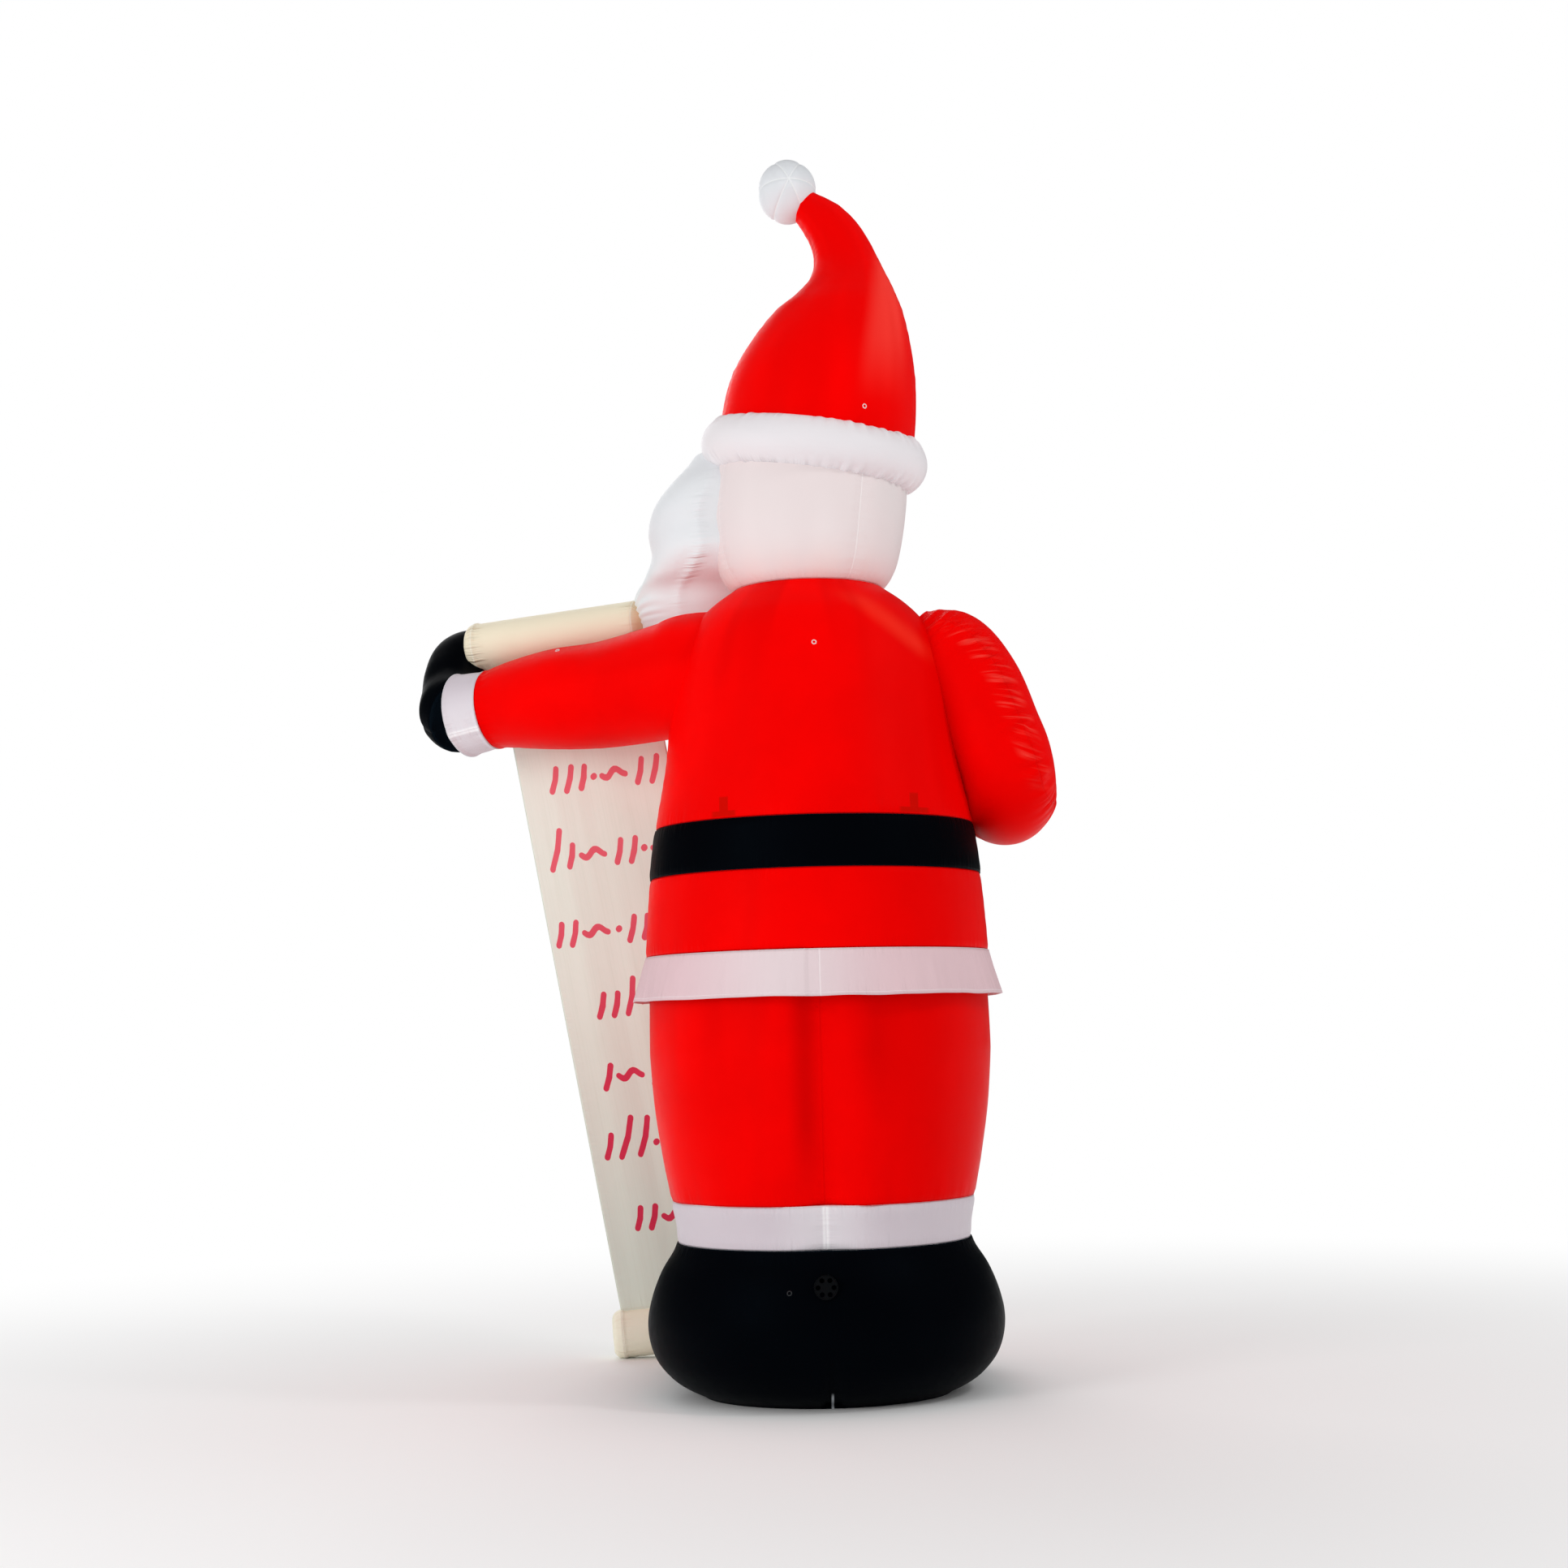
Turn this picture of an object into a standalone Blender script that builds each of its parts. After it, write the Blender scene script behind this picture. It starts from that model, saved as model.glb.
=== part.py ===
"""Giant inflatable santa with a long list on a scroll, made here as sewn fabric chambers full of air.

It faces -Y, its left hand is at +X, and the origin is on the flat underside of its boots.
Each fabric piece is its own closed body, and neighbours that meet keep the clearance GAP.
"""

from math import atan2, cos, exp, pi, radians, sin

import bmesh
import bpy
from mathutils import Matrix, Vector
from mathutils.bvhtree import BVHTree

# Overall size. The figure's proportions below are read off a drawing of DRAWN_HEIGHT metres.
FIGURE_HEIGHT = 6.10
DRAWN_HEIGHT = 6.10
UNIT = FIGURE_HEIGHT / DRAWN_HEIGHT

# Fits and fabric
GAP = 0.0003
HEM_THICKNESS = 0.010
SHEET_THICKNESS = 0.008

# Seam heights of the body column
BOOT_TOP = 0.722 * UNIT
CUFF_TOP = 0.920 * UNIT
HEM_BOTTOM = 1.872 * UNIT
COAT_BOTTOM = 2.087 * UNIT
BELT_BOTTOM = 2.463 * UNIT
BELT_TOP = 2.706 * UNIT
COLLAR_HEIGHT = 3.880 * UNIT

# Body column: height, half width, half depth behind, half depth in front
BODY_OUTLINE = (
    (0.000, 0.575, 0.530, 0.560),
    (0.030, 0.655, 0.600, 0.620),
    (0.085, 0.742, 0.680, 0.700),
    (0.187, 0.824, 0.765, 0.780),
    (0.330, 0.857, 0.810, 0.820),
    (0.460, 0.836, 0.800, 0.800),
    (0.590, 0.785, 0.760, 0.750),
    (0.722, 0.710, 0.700, 0.690),
    (0.920, 0.733, 0.710, 0.710),
    (1.110, 0.768, 0.735, 0.740),
    (1.400, 0.809, 0.770, 0.780),
    (1.872, 0.838, 0.800, 0.820),
    (2.087, 0.835, 0.805, 0.850),
    (2.463, 0.808, 0.790, 0.885),
    (2.706, 0.778, 0.760, 0.870),
    (3.007, 0.723, 0.700, 0.790),
    (3.200, 0.702, 0.655, 0.720),
    (3.420, 0.688, 0.605, 0.640),
    (3.600, 0.640, 0.555, 0.580),
    (3.720, 0.565, 0.500, 0.520),
    (3.810, 0.475, 0.430, 0.445),
    (3.880, 0.375, 0.370, 0.375),
)
COLUMN_SIDES = 30
BELT_PROUD = 0.004 * UNIT
TROUSER_TUCK = 0.026 * UNIT      # how far the trousers draw in under the hem
TUCK_START = 0.6                 # share of the trousers' height where that begins
GROOVE_FADE = 0.7                # share of the groove's depth lost by the top of the trousers
LEG_GROOVE_DEPTH = 0.060 * UNIT
LEG_GROOVE_ANGLE = 0.16          # half width of the groove between the legs, in radians

# Hem of the coat: a single loose band that flares and waves
HEM_FLARE = 0.052 * UNIT
HEM_WAVE = 0.010 * UNIT
HEM_WAVES = 9
HEM_SIDES = 40

# Boots
LEFT_TOE_CENTRE = Vector((0.370, -0.500, 0.270)) * UNIT
RIGHT_TOE_CENTRE = Vector((-0.381, -0.487, 0.273)) * UNIT
TOE_RADII = Vector((0.44, 0.66, 0.38)) * UNIT
TOE_SIDES = 16
TOE_RINGS = 9
CLEFT_X = -0.0125 * UNIT
CLEFT_WIDTH = 0.020 * UNIT
CLEFT_HEIGHT = 0.115 * UNIT
HEEL_CLEFT = (0.06 * UNIT, 0.75 * UNIT)

# Blower on the back of the boots
BLOWER_X = 0.008 * UNIT
BLOWER_HEIGHT = 0.568 * UNIT
BLOWER_DIAMETER = 0.110
BLOWER_SIDES = 20
BLOWER_WALL = 0.003
BLOWER_DEPTH = 0.120
BLOWER_PROUD = 0.026             # its lower rim stands this far out where the boots bulge less
GRILLE_THICKNESS = 0.004
GRILLE_SETBACK = 0.002
GRILLE_HOLES = 6
GRILLE_HOLE_DIAMETER = 0.024
GRILLE_HOLE_CIRCLE = 0.072
GRILLE_HOLE_SIDES = 7

# Sleeves, cuffs and mittens: centre line and radius
LEFT_SLEEVE = (
    (0.300, 0.020, 3.500, 0.280),
    (0.554, 0.000, 3.490, 0.293),
    (0.700, -0.040, 3.460, 0.283),
    (1.011, -0.190, 3.424, 0.264),
    (1.266, -0.290, 3.420, 0.252),
    (1.483, -0.390, 3.412, 0.222),
    (1.625, -0.445, 3.396, 0.192),
)
LEFT_CUFF = (
    (1.625, -0.445, 3.396, 0.196),
    (1.690, -0.471, 3.389, 0.205),
    (1.775, -0.512, 3.380, 0.211),
)
LEFT_MITTEN = (
    (1.775, -0.512, 3.380, 0.203),
    (1.818, -0.570, 3.412, 0.205),
    (1.838, -0.670, 3.500, 0.185),
    (1.845, -0.770, 3.605, 0.170),
    (1.825, -0.870, 3.705, 0.150),
    (1.745, -0.940, 3.765, 0.120),
    (1.650, -0.960, 3.775, 0.060),
)
LEFT_THUMB = (
    (1.820, -0.600, 3.440, 0.090),
    (1.790, -0.740, 3.475, 0.085),
    (1.730, -0.860, 3.510, 0.070),
    (1.680, -0.910, 3.540, 0.035),
)
RIGHT_SLEEVE = (
    (-0.520, 0.040, 3.690, 0.100),
    (-0.590, 0.045, 3.625, 0.186),
    (-0.690, 0.060, 3.525, 0.240),
    (-0.800, 0.085, 3.362, 0.243),
    (-0.885, 0.110, 3.150, 0.236),
    (-0.930, 0.105, 3.030, 0.235),
    (-0.957, 0.035, 2.905, 0.235),
    (-0.963, -0.120, 2.842, 0.230),
    (-0.925, -0.350, 2.865, 0.215),
    (-0.835, -0.570, 2.930, 0.200),
    (-0.720, -0.740, 3.000, 0.186),
)
RIGHT_CUFF = (
    (-0.720, -0.740, 3.000, 0.190),
    (-0.670, -0.800, 3.028, 0.200),
    (-0.600, -0.860, 3.064, 0.206),
)
RIGHT_MITTEN = (
    (-0.600, -0.860, 3.064, 0.198),
    (-0.545, -0.900, 3.090, 0.200),
    (-0.450, -0.940, 3.130, 0.180),
    (-0.340, -0.950, 3.170, 0.160),
    (-0.230, -0.940, 3.200, 0.135),
    (-0.150, -0.920, 3.220, 0.070),
)
RIGHT_THUMB = (
    (-0.500, -0.920, 3.150, 0.095),
    (-0.460, -0.940, 3.270, 0.085),
    (-0.410, -0.940, 3.370, 0.070),
    (-0.380, -0.930, 3.430, 0.035),
)
LIMB_SIDES = 16
THUMB_SIDES = 10
DENSE_TABLE = 9                  # a longer table than this needs no rings between its rows

# Head, turned towards its left hand: height above the collar, and radius
HEAD_TURN = radians(35)
HEAD_OUTLINE = (
    (0.000, 0.372),
    (0.055, 0.420),
    (0.140, 0.450),
    (0.280, 0.477),
    (0.430, 0.486),
    (0.560, 0.480),
    (0.690, 0.462),
)
HEAD_UPRIGHT = 0.140 * UNIT      # below this height above the collar its rings lie level
HEAD_SIDES = 22

# Fur brim: a ring on a plane that leans back and to the figure's right
BRIM_CENTRE = Vector((-0.050, 0.0, 4.570)) * UNIT
BRIM_SLOPE = Vector((-0.150, 0.100, 1.0)).normalized()
BRIM_RADIUS = 0.433 * UNIT
BRIM_THICKNESS = 0.134 * UNIT
HAT_SEAM = BRIM_CENTRE + BRIM_SLOPE * 0.020 * UNIT    # where the hat meets the head, inside the brim

# Hat above its seam, up to the tip inside the pompom: centre line, radius, lean to its left hand in degrees
HAT_SEAM_RADIUS = 0.472 * UNIT
HAT = (
    (-0.074, 0.015, 4.720, 0.484, -8),
    (-0.104, 0.036, 4.930, 0.462, -4),
    (-0.138, 0.052, 5.110, 0.407, -1),
    (-0.180, 0.060, 5.262, 0.334, 0),
    (-0.212, 0.060, 5.360, 0.266, 3),
    (-0.229, 0.059, 5.450, 0.207, 7),
    (-0.229, 0.056, 5.535, 0.168, 11),
    (-0.211, 0.050, 5.618, 0.147, 17),
    (-0.176, 0.042, 5.697, 0.132, 28),
    (-0.121, 0.032, 5.775, 0.115, 38),
    (-0.050, 0.018, 5.842, 0.091, 51),
    (0.030, 0.000, 5.915, 0.070, 55),
)
POMPOM_CENTRE = Vector((0.052, 0.0, 5.9385)) * UNIT
POMPOM_RADII = Vector((0.148, 0.148, 0.1615)) * UNIT

# Beard: height, distance in front of the neck, half depth, half width
BEARD = (
    (4.600, 0.300, 0.280, 0.425),
    (4.550, 0.320, 0.320, 0.455),
    (4.440, 0.330, 0.410, 0.552),
    (4.340, 0.370, 0.440, 0.605),
    (4.230, 0.400, 0.450, 0.615),
    (4.105, 0.390, 0.450, 0.604),
    (4.015, 0.500, 0.450, 0.580),
    (3.950, 0.650, 0.430, 0.540),
    (3.860, 0.700, 0.420, 0.520),
    (3.740, 0.700, 0.400, 0.470),
    (3.600, 0.680, 0.360, 0.400),
    (3.460, 0.660, 0.290, 0.310),
    (3.360, 0.650, 0.200, 0.210),
    (3.310, 0.640, 0.100, 0.110),
)
BEARD_SIDES = 20

# Face: forward of the neck's axis, sideways, and height, in the turned head's own axes
FACE_OPENING_HEIGHT = 4.400 * UNIT
FACE_OPENING_RADII = (0.350 * UNIT, 0.270 * UNIT)
FACE_CENTRE = (0.250 * UNIT, 0.0, FACE_OPENING_HEIGHT - 0.030 * UNIT)
FACE_RADII = Vector((0.500, 0.460, 0.290)) * UNIT
NOSE_CENTRE = (0.790 * UNIT, 0.0, FACE_OPENING_HEIGHT - 0.080 * UNIT)
NOSE_RADIUS = 0.090 * UNIT

# Moustache: forward, sideways, depth below the middle of the face's opening, radius
MOUSTACHE_HALF = (
    (0.800, 0.000, 0.185, 0.070),
    (0.815, 0.090, 0.205, 0.098),
    (0.785, 0.190, 0.240, 0.094),
    (0.725, 0.300, 0.255, 0.068),
    (0.665, 0.380, 0.230, 0.030),
)

# Scroll
ROLL_RADIUS = 0.124
ROLL_END_ROUNDING = 0.045
TOP_ROLL_ENDS = (Vector((1.770, -0.700, 3.758)) * UNIT, Vector((0.820, -0.420, 3.823)) * UNIT)
BOTTOM_ROLL_ENDS = (Vector((1.128, -1.370, 0.1245)) * UNIT, Vector((0.180, -1.403, 0.197)) * UNIT)
SHEET_WIDTH = 0.830
TOP_ROLL_MARGIN = 0.130          # bare roll beside the sheet's left edge
BOTTOM_ROLL_MARGIN = 0.062
SHEET_COLUMNS = 4
SHEET_ROWS = 14

# Tether rings: a ring's own size, and the place each one is sewn to, seen from behind
RING_RADIUS = 0.010
RING_WIRE = 0.0028
HAT_RING = (-0.289 * UNIT, 4.700 * UNIT)
BACK_RING = (-0.016 * UNIT, COLLAR_HEIGHT - 0.346 * UNIT)
SLEEVE_RING = (1.262 * UNIT, 3.645 * UNIT)
BOOT_RING = (0.172 * UNIT, 0.543 * UNIT)

RED = (0.85, 0.004, 0.003, 1)
WHITE = (0.82, 0.80, 0.81, 1)
BLACK = (0.004, 0.005, 0.007, 1)
CREAM = (0.78, 0.68, 0.50, 1)
IVORY = (0.74, 0.73, 0.64, 1)
SKIN = (0.86, 0.52, 0.38, 1)
NOSE_PINK = (0.80, 0.25, 0.20, 1)


def clear_scene():
    for obj in list(bpy.data.objects):
        bpy.data.objects.remove(obj, do_unlink=True)


def new_collection(name, hidden=False):
    collection = bpy.data.collections.new(name)
    collection.hide_render = hidden
    bpy.context.scene.collection.children.link(collection)
    return collection


def cloth(name, colour, roughness=0.55):
    material = bpy.data.materials.new(name)
    material.use_nodes = True
    shader = material.node_tree.nodes["Principled BSDF"]
    shader.inputs["Base Color"].default_value = colour
    shader.inputs["Roughness"].default_value = roughness
    shader.inputs["Metallic"].default_value = 0.0
    return material


def add_object(name, mesh, collection, material=None):
    obj = bpy.data.objects.new(name, mesh)
    collection.objects.link(obj)
    if material:
        mesh.materials.append(material)
    return obj


def smooth(obj, angle=40):
    obj.data.shade_smooth()
    obj.data.set_sharp_from_angle(angle=radians(angle))
    return obj


def between(stations, count):
    """Catmull-Rom points through the stations, which may have any number of values each."""
    rows = [Vector(s) for s in stations]
    rows = [2 * rows[0] - rows[1]] + rows + [2 * rows[-1] - rows[-2]]
    found = []
    for i in range(1, len(rows) - 2):
        a, b, c, d = rows[i - 1 : i + 3]
        for step in range(count):
            t = step / count
            bend = (2 * a - 5 * b + 4 * c - d) * t**2 + (3 * b - a - 3 * c + d) * t**3
            found.append(0.5 * (2 * b + (c - a) * t + bend))
    found.append(rows[-2].copy())
    return found


def interpolated(table, height):
    """The other values of a table row at a height between its rows, on a smooth curve."""
    for i in range(len(table) - 1):
        low, high = table[i], table[i + 1]
        if height <= high[0] * UNIT or i == len(table) - 2:
            before, after = table[max(i - 1, 0)], table[min(i + 2, len(table) - 1)]
            span = high[0] - low[0]
            t = (height / UNIT - low[0]) / span
            values = []
            for k in range(1, len(low)):
                slope_low = (high[k] - before[k]) / (high[0] - before[0]) * span
                slope_high = (after[k] - low[k]) / (after[0] - low[0]) * span
                values.append(
                    UNIT
                    * (
                        low[k] * (2 * t**3 - 3 * t**2 + 1)
                        + slope_low * (t**3 - 2 * t**2 + t)
                        + high[k] * (3 * t**2 - 2 * t**3)
                        + slope_high * (t**3 - t**2)
                    )
                )
            return values


def split_bent_faces(shape):
    """Triangles where a face isn't flat, so that a body and the cut it leaves in its neighbour agree."""
    sides = [face for face in shape.faces if len(face.verts) == 4]
    bmesh.ops.triangulate(shape, faces=sides)


def loft(name, rings, collection, material):
    """Closed body through rings of points, with a flat cap at each end."""
    shape = bmesh.new()
    loops = [[shape.verts.new(point) for point in ring] for ring in rings]
    count = len(rings[0])
    for low, high in zip(loops, loops[1:]):
        for i in range(count):
            j = (i + 1) % count
            shape.faces.new((low[i], low[j], high[j], high[i]))
    shape.faces.new(loops[0][::-1])
    shape.faces.new(loops[-1])
    bmesh.ops.recalc_face_normals(shape, faces=shape.faces)
    split_bent_faces(shape)
    mesh = bpy.data.meshes.new(name)
    shape.to_mesh(mesh)
    shape.free()
    return smooth(add_object(name, mesh, collection, material))


def body_ring(height, grow=0.0, groove=0.0, sides=COLUMN_SIDES):
    """One oval of the body column, with an optional soft groove behind and in front."""
    width, back, front = interpolated(BODY_OUTLINE, min(height, BODY_OUTLINE[-1][0] * UNIT))
    ring = []
    for i in range(sides):
        angle = 2 * pi * i / sides
        x, y = sin(angle), cos(angle)
        depth = back if y > 0 else front
        off_centre = min(abs(atan2(x, y)), pi - abs(atan2(x, y)))
        pinch = groove * exp(-((off_centre / LEG_GROOVE_ANGLE) ** 2))
        ring.append(Vector(((width + grow) * x, (depth + grow - pinch) * y, height)))
    return ring


def heights(low, high, count):
    return [low + (high - low) * i / count for i in range(count + 1)]


def tilted_ring(centre, normal, radius, sides, across=None):
    """A round ring on the plane through centre with this normal."""
    across = (across or Vector((0, 1, 0))).cross(normal).normalized()
    along = normal.cross(across)
    turns = [2 * pi * i / sides for i in range(sides)]
    return [centre + radius * (cos(turn) * across + sin(turn) * along) for turn in turns]


def as_mesh(curve_object, collection, material):
    """The object as a welded mesh, in place of the curve."""
    graph = bpy.context.evaluated_depsgraph_get()
    mesh = bpy.data.meshes.new_from_object(curve_object.evaluated_get(graph))
    name = curve_object.name
    placed = curve_object.matrix_world.copy()
    bpy.data.objects.remove(curve_object, do_unlink=True)
    shape = bmesh.new()
    shape.from_mesh(mesh)
    bmesh.ops.remove_doubles(shape, verts=shape.verts, dist=0.00005)
    split_bent_faces(shape)
    shape.to_mesh(mesh)
    shape.free()
    mesh.name = name
    mesh.materials.clear()
    obj = add_object(name, mesh, collection, material)
    obj.matrix_world = placed
    return smooth(obj)


def limb(name, stations, collection, material, steps=2, sides=LIMB_SIDES, start_gap=0.0):
    """Fabric tube along a smooth centre line whose radius changes, with flat ends."""
    points = between([[v * UNIT for v in s] for s in stations], steps)
    centres = [p.to_3d() for p in points]
    centres[0] += (centres[1] - centres[0]).normalized() * start_gap
    curve = bpy.data.curves.new(name, "CURVE")
    curve.dimensions = "3D"
    curve.bevel_depth = 1.0
    curve.bevel_resolution = sides // 2 - 2
    curve.use_fill_caps = True
    spline = curve.splines.new("POLY")
    spline.points.add(len(points) - 1)
    for target, centre, point in zip(spline.points, centres, points):
        target.co = (*centre, 1)
        target.radius = point[3]
    obj = bpy.data.objects.new(name, curve)
    bpy.context.scene.collection.objects.link(obj)
    bpy.context.view_layer.update()
    return as_mesh(obj, collection, material)


def turned(name, profile, collection, material, sides):
    """Turned body about its own Z axis. The profile runs down the outer side."""
    mesh = bpy.data.meshes.new(name)
    mesh.from_pydata([(r, 0, z) for r, z in profile], [(i, i + 1) for i in range(len(profile) - 1)], [])
    obj = add_object(name, mesh, collection, material)
    screw = obj.modifiers.new("turn", "SCREW")
    screw.steps = sides
    screw.render_steps = sides
    screw.use_merge_vertices = True
    screw.merge_threshold = 0.00005
    screw.use_smooth_shade = True
    return obj


def ellipsoid(name, centre, radii, collection, material, segments=24, rings=14):
    shape = bmesh.new()
    bmesh.ops.create_uvsphere(shape, u_segments=segments, v_segments=rings, radius=1.0)
    bmesh.ops.scale(shape, vec=radii, verts=shape.verts)
    mesh = bpy.data.meshes.new(name)
    shape.to_mesh(mesh)
    shape.free()
    obj = add_object(name, mesh, collection, material)
    obj.matrix_world = Matrix.Translation(centre)
    return smooth(obj)


def block(name, low, high, collection):
    shape = bmesh.new()
    bmesh.ops.create_cube(shape, size=1.0)
    bmesh.ops.scale(shape, vec=Vector(high) - Vector(low), verts=shape.verts)
    bmesh.ops.translate(shape, vec=(Vector(high) + Vector(low)) / 2, verts=shape.verts)
    mesh = bpy.data.meshes.new(name)
    shape.to_mesh(mesh)
    shape.free()
    return add_object(name, mesh, collection)


def rod(name, radius, low, high, collection, sides=24):
    """Cylinder along its own Z axis from low to high."""
    shape = bmesh.new()
    bmesh.ops.create_cone(
        shape, cap_ends=True, segments=sides, radius1=radius, radius2=radius, depth=high - low
    )
    bmesh.ops.translate(shape, vec=(0, 0, (high + low) / 2), verts=shape.verts)
    mesh = bpy.data.meshes.new(name)
    shape.to_mesh(mesh)
    shape.free()
    return add_object(name, mesh, collection)


def boolean(target, tool, operation="DIFFERENCE"):
    tool.hide_render = True
    tool.display_type = "WIRE"
    step = target.modifiers.new(f"{operation.lower()} {tool.name}", "BOOLEAN")
    step.object = tool
    step.operation = operation
    step.solver = "EXACT"


def clear_of(target, neighbour, cutters, clearance=GAP):
    """Cuts the target back to a clearance off its neighbour's whole outer shape."""
    tool = bpy.data.objects.new(f"{target.name} clear of {neighbour.name}", neighbour.data)
    tool.matrix_world = neighbour.matrix_world
    cutters.objects.link(tool)
    for source in neighbour.modifiers:
        if source.type == "SCREW":
            turn = tool.modifiers.new(source.name, "SCREW")
            for field in ("steps", "render_steps", "use_merge_vertices", "merge_threshold"):
                setattr(turn, field, getattr(source, field))
    swell = tool.modifiers.new("clearance", "DISPLACE")
    swell.mid_level = 0.0
    swell.strength = clearance
    boolean(target, tool)


def point_along(direction, at):
    """Rotation and place that turn an object's own Z axis to a direction."""
    return Matrix.Translation(at) @ direction.to_track_quat("Z", "Y").to_matrix().to_4x4()


def from_behind(obj, x, z):
    """Where a line along Y first meets the object from behind, and the surface's normal there."""
    graph = bpy.context.evaluated_depsgraph_get()
    tree = BVHTree.FromObject(obj, graph)
    inverse = obj.matrix_world.inverted()
    start = inverse @ Vector((x, 10.0 * UNIT, z))
    hit, normal, _, _ = tree.ray_cast(start, inverse.to_3x3() @ Vector((0, -1, 0)))
    return obj.matrix_world @ hit, (obj.matrix_world.to_3x3() @ normal).normalized()


def head_place(forward, left, height):
    """A place given in the turned head's own axes, in the figure's axes."""
    return Vector(
        (
            forward * sin(HEAD_TURN) + left * cos(HEAD_TURN),
            -forward * cos(HEAD_TURN) + left * sin(HEAD_TURN),
            height,
        )
    )


def make_boots(parts, cutters, black):
    rings = [body_ring(row[0] * UNIT) for row in BODY_OUTLINE if row[0] * UNIT < BOOT_TOP - GAP]
    below_floor = [point - Vector((0, 0, CLEFT_HEIGHT)) for point in rings[0]]
    boots = loft("boots", [below_floor] + rings + [body_ring(BOOT_TOP - GAP)], parts, black)
    for name, centre in (("left toe", LEFT_TOE_CENTRE), ("right toe", RIGHT_TOE_CENTRE)):
        boolean(boots, ellipsoid(name, centre, TOE_RADII, cutters, None, TOE_SIDES, TOE_RINGS), "UNION")
    reach = 3 * UNIT
    boolean(boots, block("floor", (-reach, -reach, -1), (reach, reach, 0), cutters))
    half = CLEFT_WIDTH / 2
    section = ((-1.2 * half, -0.2 * CLEFT_HEIGHT), (1.2 * half, -0.2 * CLEFT_HEIGHT), (0, CLEFT_HEIGHT))
    rings = [[Vector((CLEFT_X + x, y, z)) for x, z in section] for y in HEEL_CLEFT]
    boolean(boots, loft("heel cleft", rings, cutters, None))
    return boots


def make_blower(parts, cutters, boots, plastic):
    """Round blower housing let into the boots, with a holed grille in its mouth."""
    outer = BLOWER_DIAMETER / 2
    inner = outer - BLOWER_WALL
    flat = cos(pi / BLOWER_SIDES)    # how far a side's middle stands in from its corners
    seat, _ = from_behind(boots, BLOWER_X, BLOWER_HEIGHT)
    mouth = Vector((BLOWER_X, seat.y + BLOWER_PROUD, BLOWER_HEIGHT))
    place = point_along(Vector((0, 1, 0)), mouth)
    housing = turned(
        "blower_housing",
        (
            (0, BLOWER_WALL - BLOWER_DEPTH),
            (inner, BLOWER_WALL - BLOWER_DEPTH),
            (inner, 0),
            (outer, 0),
            (outer, -BLOWER_DEPTH),
            (0, -BLOWER_DEPTH),
        ),
        parts,
        plastic,
        BLOWER_SIDES,
    )
    housing.matrix_world = place
    wide = (outer + GAP) / flat
    pocket = rod("blower pocket", wide, -BLOWER_DEPTH - GAP, BLOWER_DEPTH, cutters, BLOWER_SIDES)
    pocket.matrix_world = place
    boolean(boots, pocket)
    back = -GRILLE_SETBACK - GRILLE_THICKNESS
    grille = rod("blower_grille", inner * flat - GAP, back, -GRILLE_SETBACK, parts, BLOWER_SIDES)
    grille.data.materials.append(plastic)
    grille.matrix_world = place
    for i in range(GRILLE_HOLES):
        angle = 2 * pi * i / GRILLE_HOLES
        depth = 4 * GRILLE_THICKNESS
        hole = rod(f"grille hole {i}", GRILLE_HOLE_DIAMETER / 2, -depth, depth, cutters, GRILLE_HOLE_SIDES)
        offset = Vector((cos(angle), sin(angle), 0)) * GRILLE_HOLE_CIRCLE / 2
        hole.matrix_world = place @ Matrix.Translation(offset)
        boolean(grille, hole)


def make_legs(parts, white, red):
    cuffs = [body_ring(z, groove=LEG_GROOVE_DEPTH * 0.5) for z in heights(BOOT_TOP, CUFF_TOP - GAP, 1)]
    loft("trouser_cuffs", cuffs, parts, white)
    rings = []
    for z in heights(CUFF_TOP, COAT_BOTTOM - GAP, 5):
        share = (z - CUFF_TOP) / (COAT_BOTTOM - CUFF_TOP)
        tuck = TROUSER_TUCK * max(0.0, (share - TUCK_START) / (1 - TUCK_START))
        rings.append(body_ring(z, grow=-tuck, groove=LEG_GROOVE_DEPTH * (1 - GROOVE_FADE * share)))
    loft("trousers", rings, parts, red)


def make_hem(parts, white):
    """Loose band under the coat: an open waving strip given its thickness inwards."""
    top, rows = COAT_BOTTOM - GAP, 2
    shape = bmesh.new()
    loops = []
    for step in range(rows + 1):
        share = step / rows
        z = top + (HEM_BOTTOM - top) * share
        loop = []
        for i in range(HEM_SIDES):
            angle = 2 * pi * i / HEM_SIDES
            width, back, front = interpolated(BODY_OUTLINE, COAT_BOTTOM)
            depth = back if cos(angle) > 0 else front
            flare = HEM_FLARE * share + HEM_WAVE * share * sin(HEM_WAVES * angle)
            loop.append(shape.verts.new(((width + flare) * sin(angle), (depth + flare) * cos(angle), z)))
        loops.append(loop)
    for upper, lower in zip(loops, loops[1:]):
        for i in range(HEM_SIDES):
            j = (i + 1) % HEM_SIDES
            shape.faces.new((upper[i], upper[j], lower[j], lower[i]))
    bmesh.ops.recalc_face_normals(shape, faces=shape.faces)
    mesh = bpy.data.meshes.new("coat_hem")
    shape.to_mesh(mesh)
    shape.free()
    hem = smooth(add_object("coat_hem", mesh, parts, white))
    wall = hem.modifiers.new("fabric", "SOLIDIFY")
    wall.thickness = HEM_THICKNESS
    wall.offset = -1.0 if outward(mesh) else 1.0


def outward(mesh):
    """Whether the open band's faces point away from the body's axis."""
    face = mesh.polygons[0]
    return face.center.to_2d().dot(face.normal.to_2d()) > 0


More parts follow.
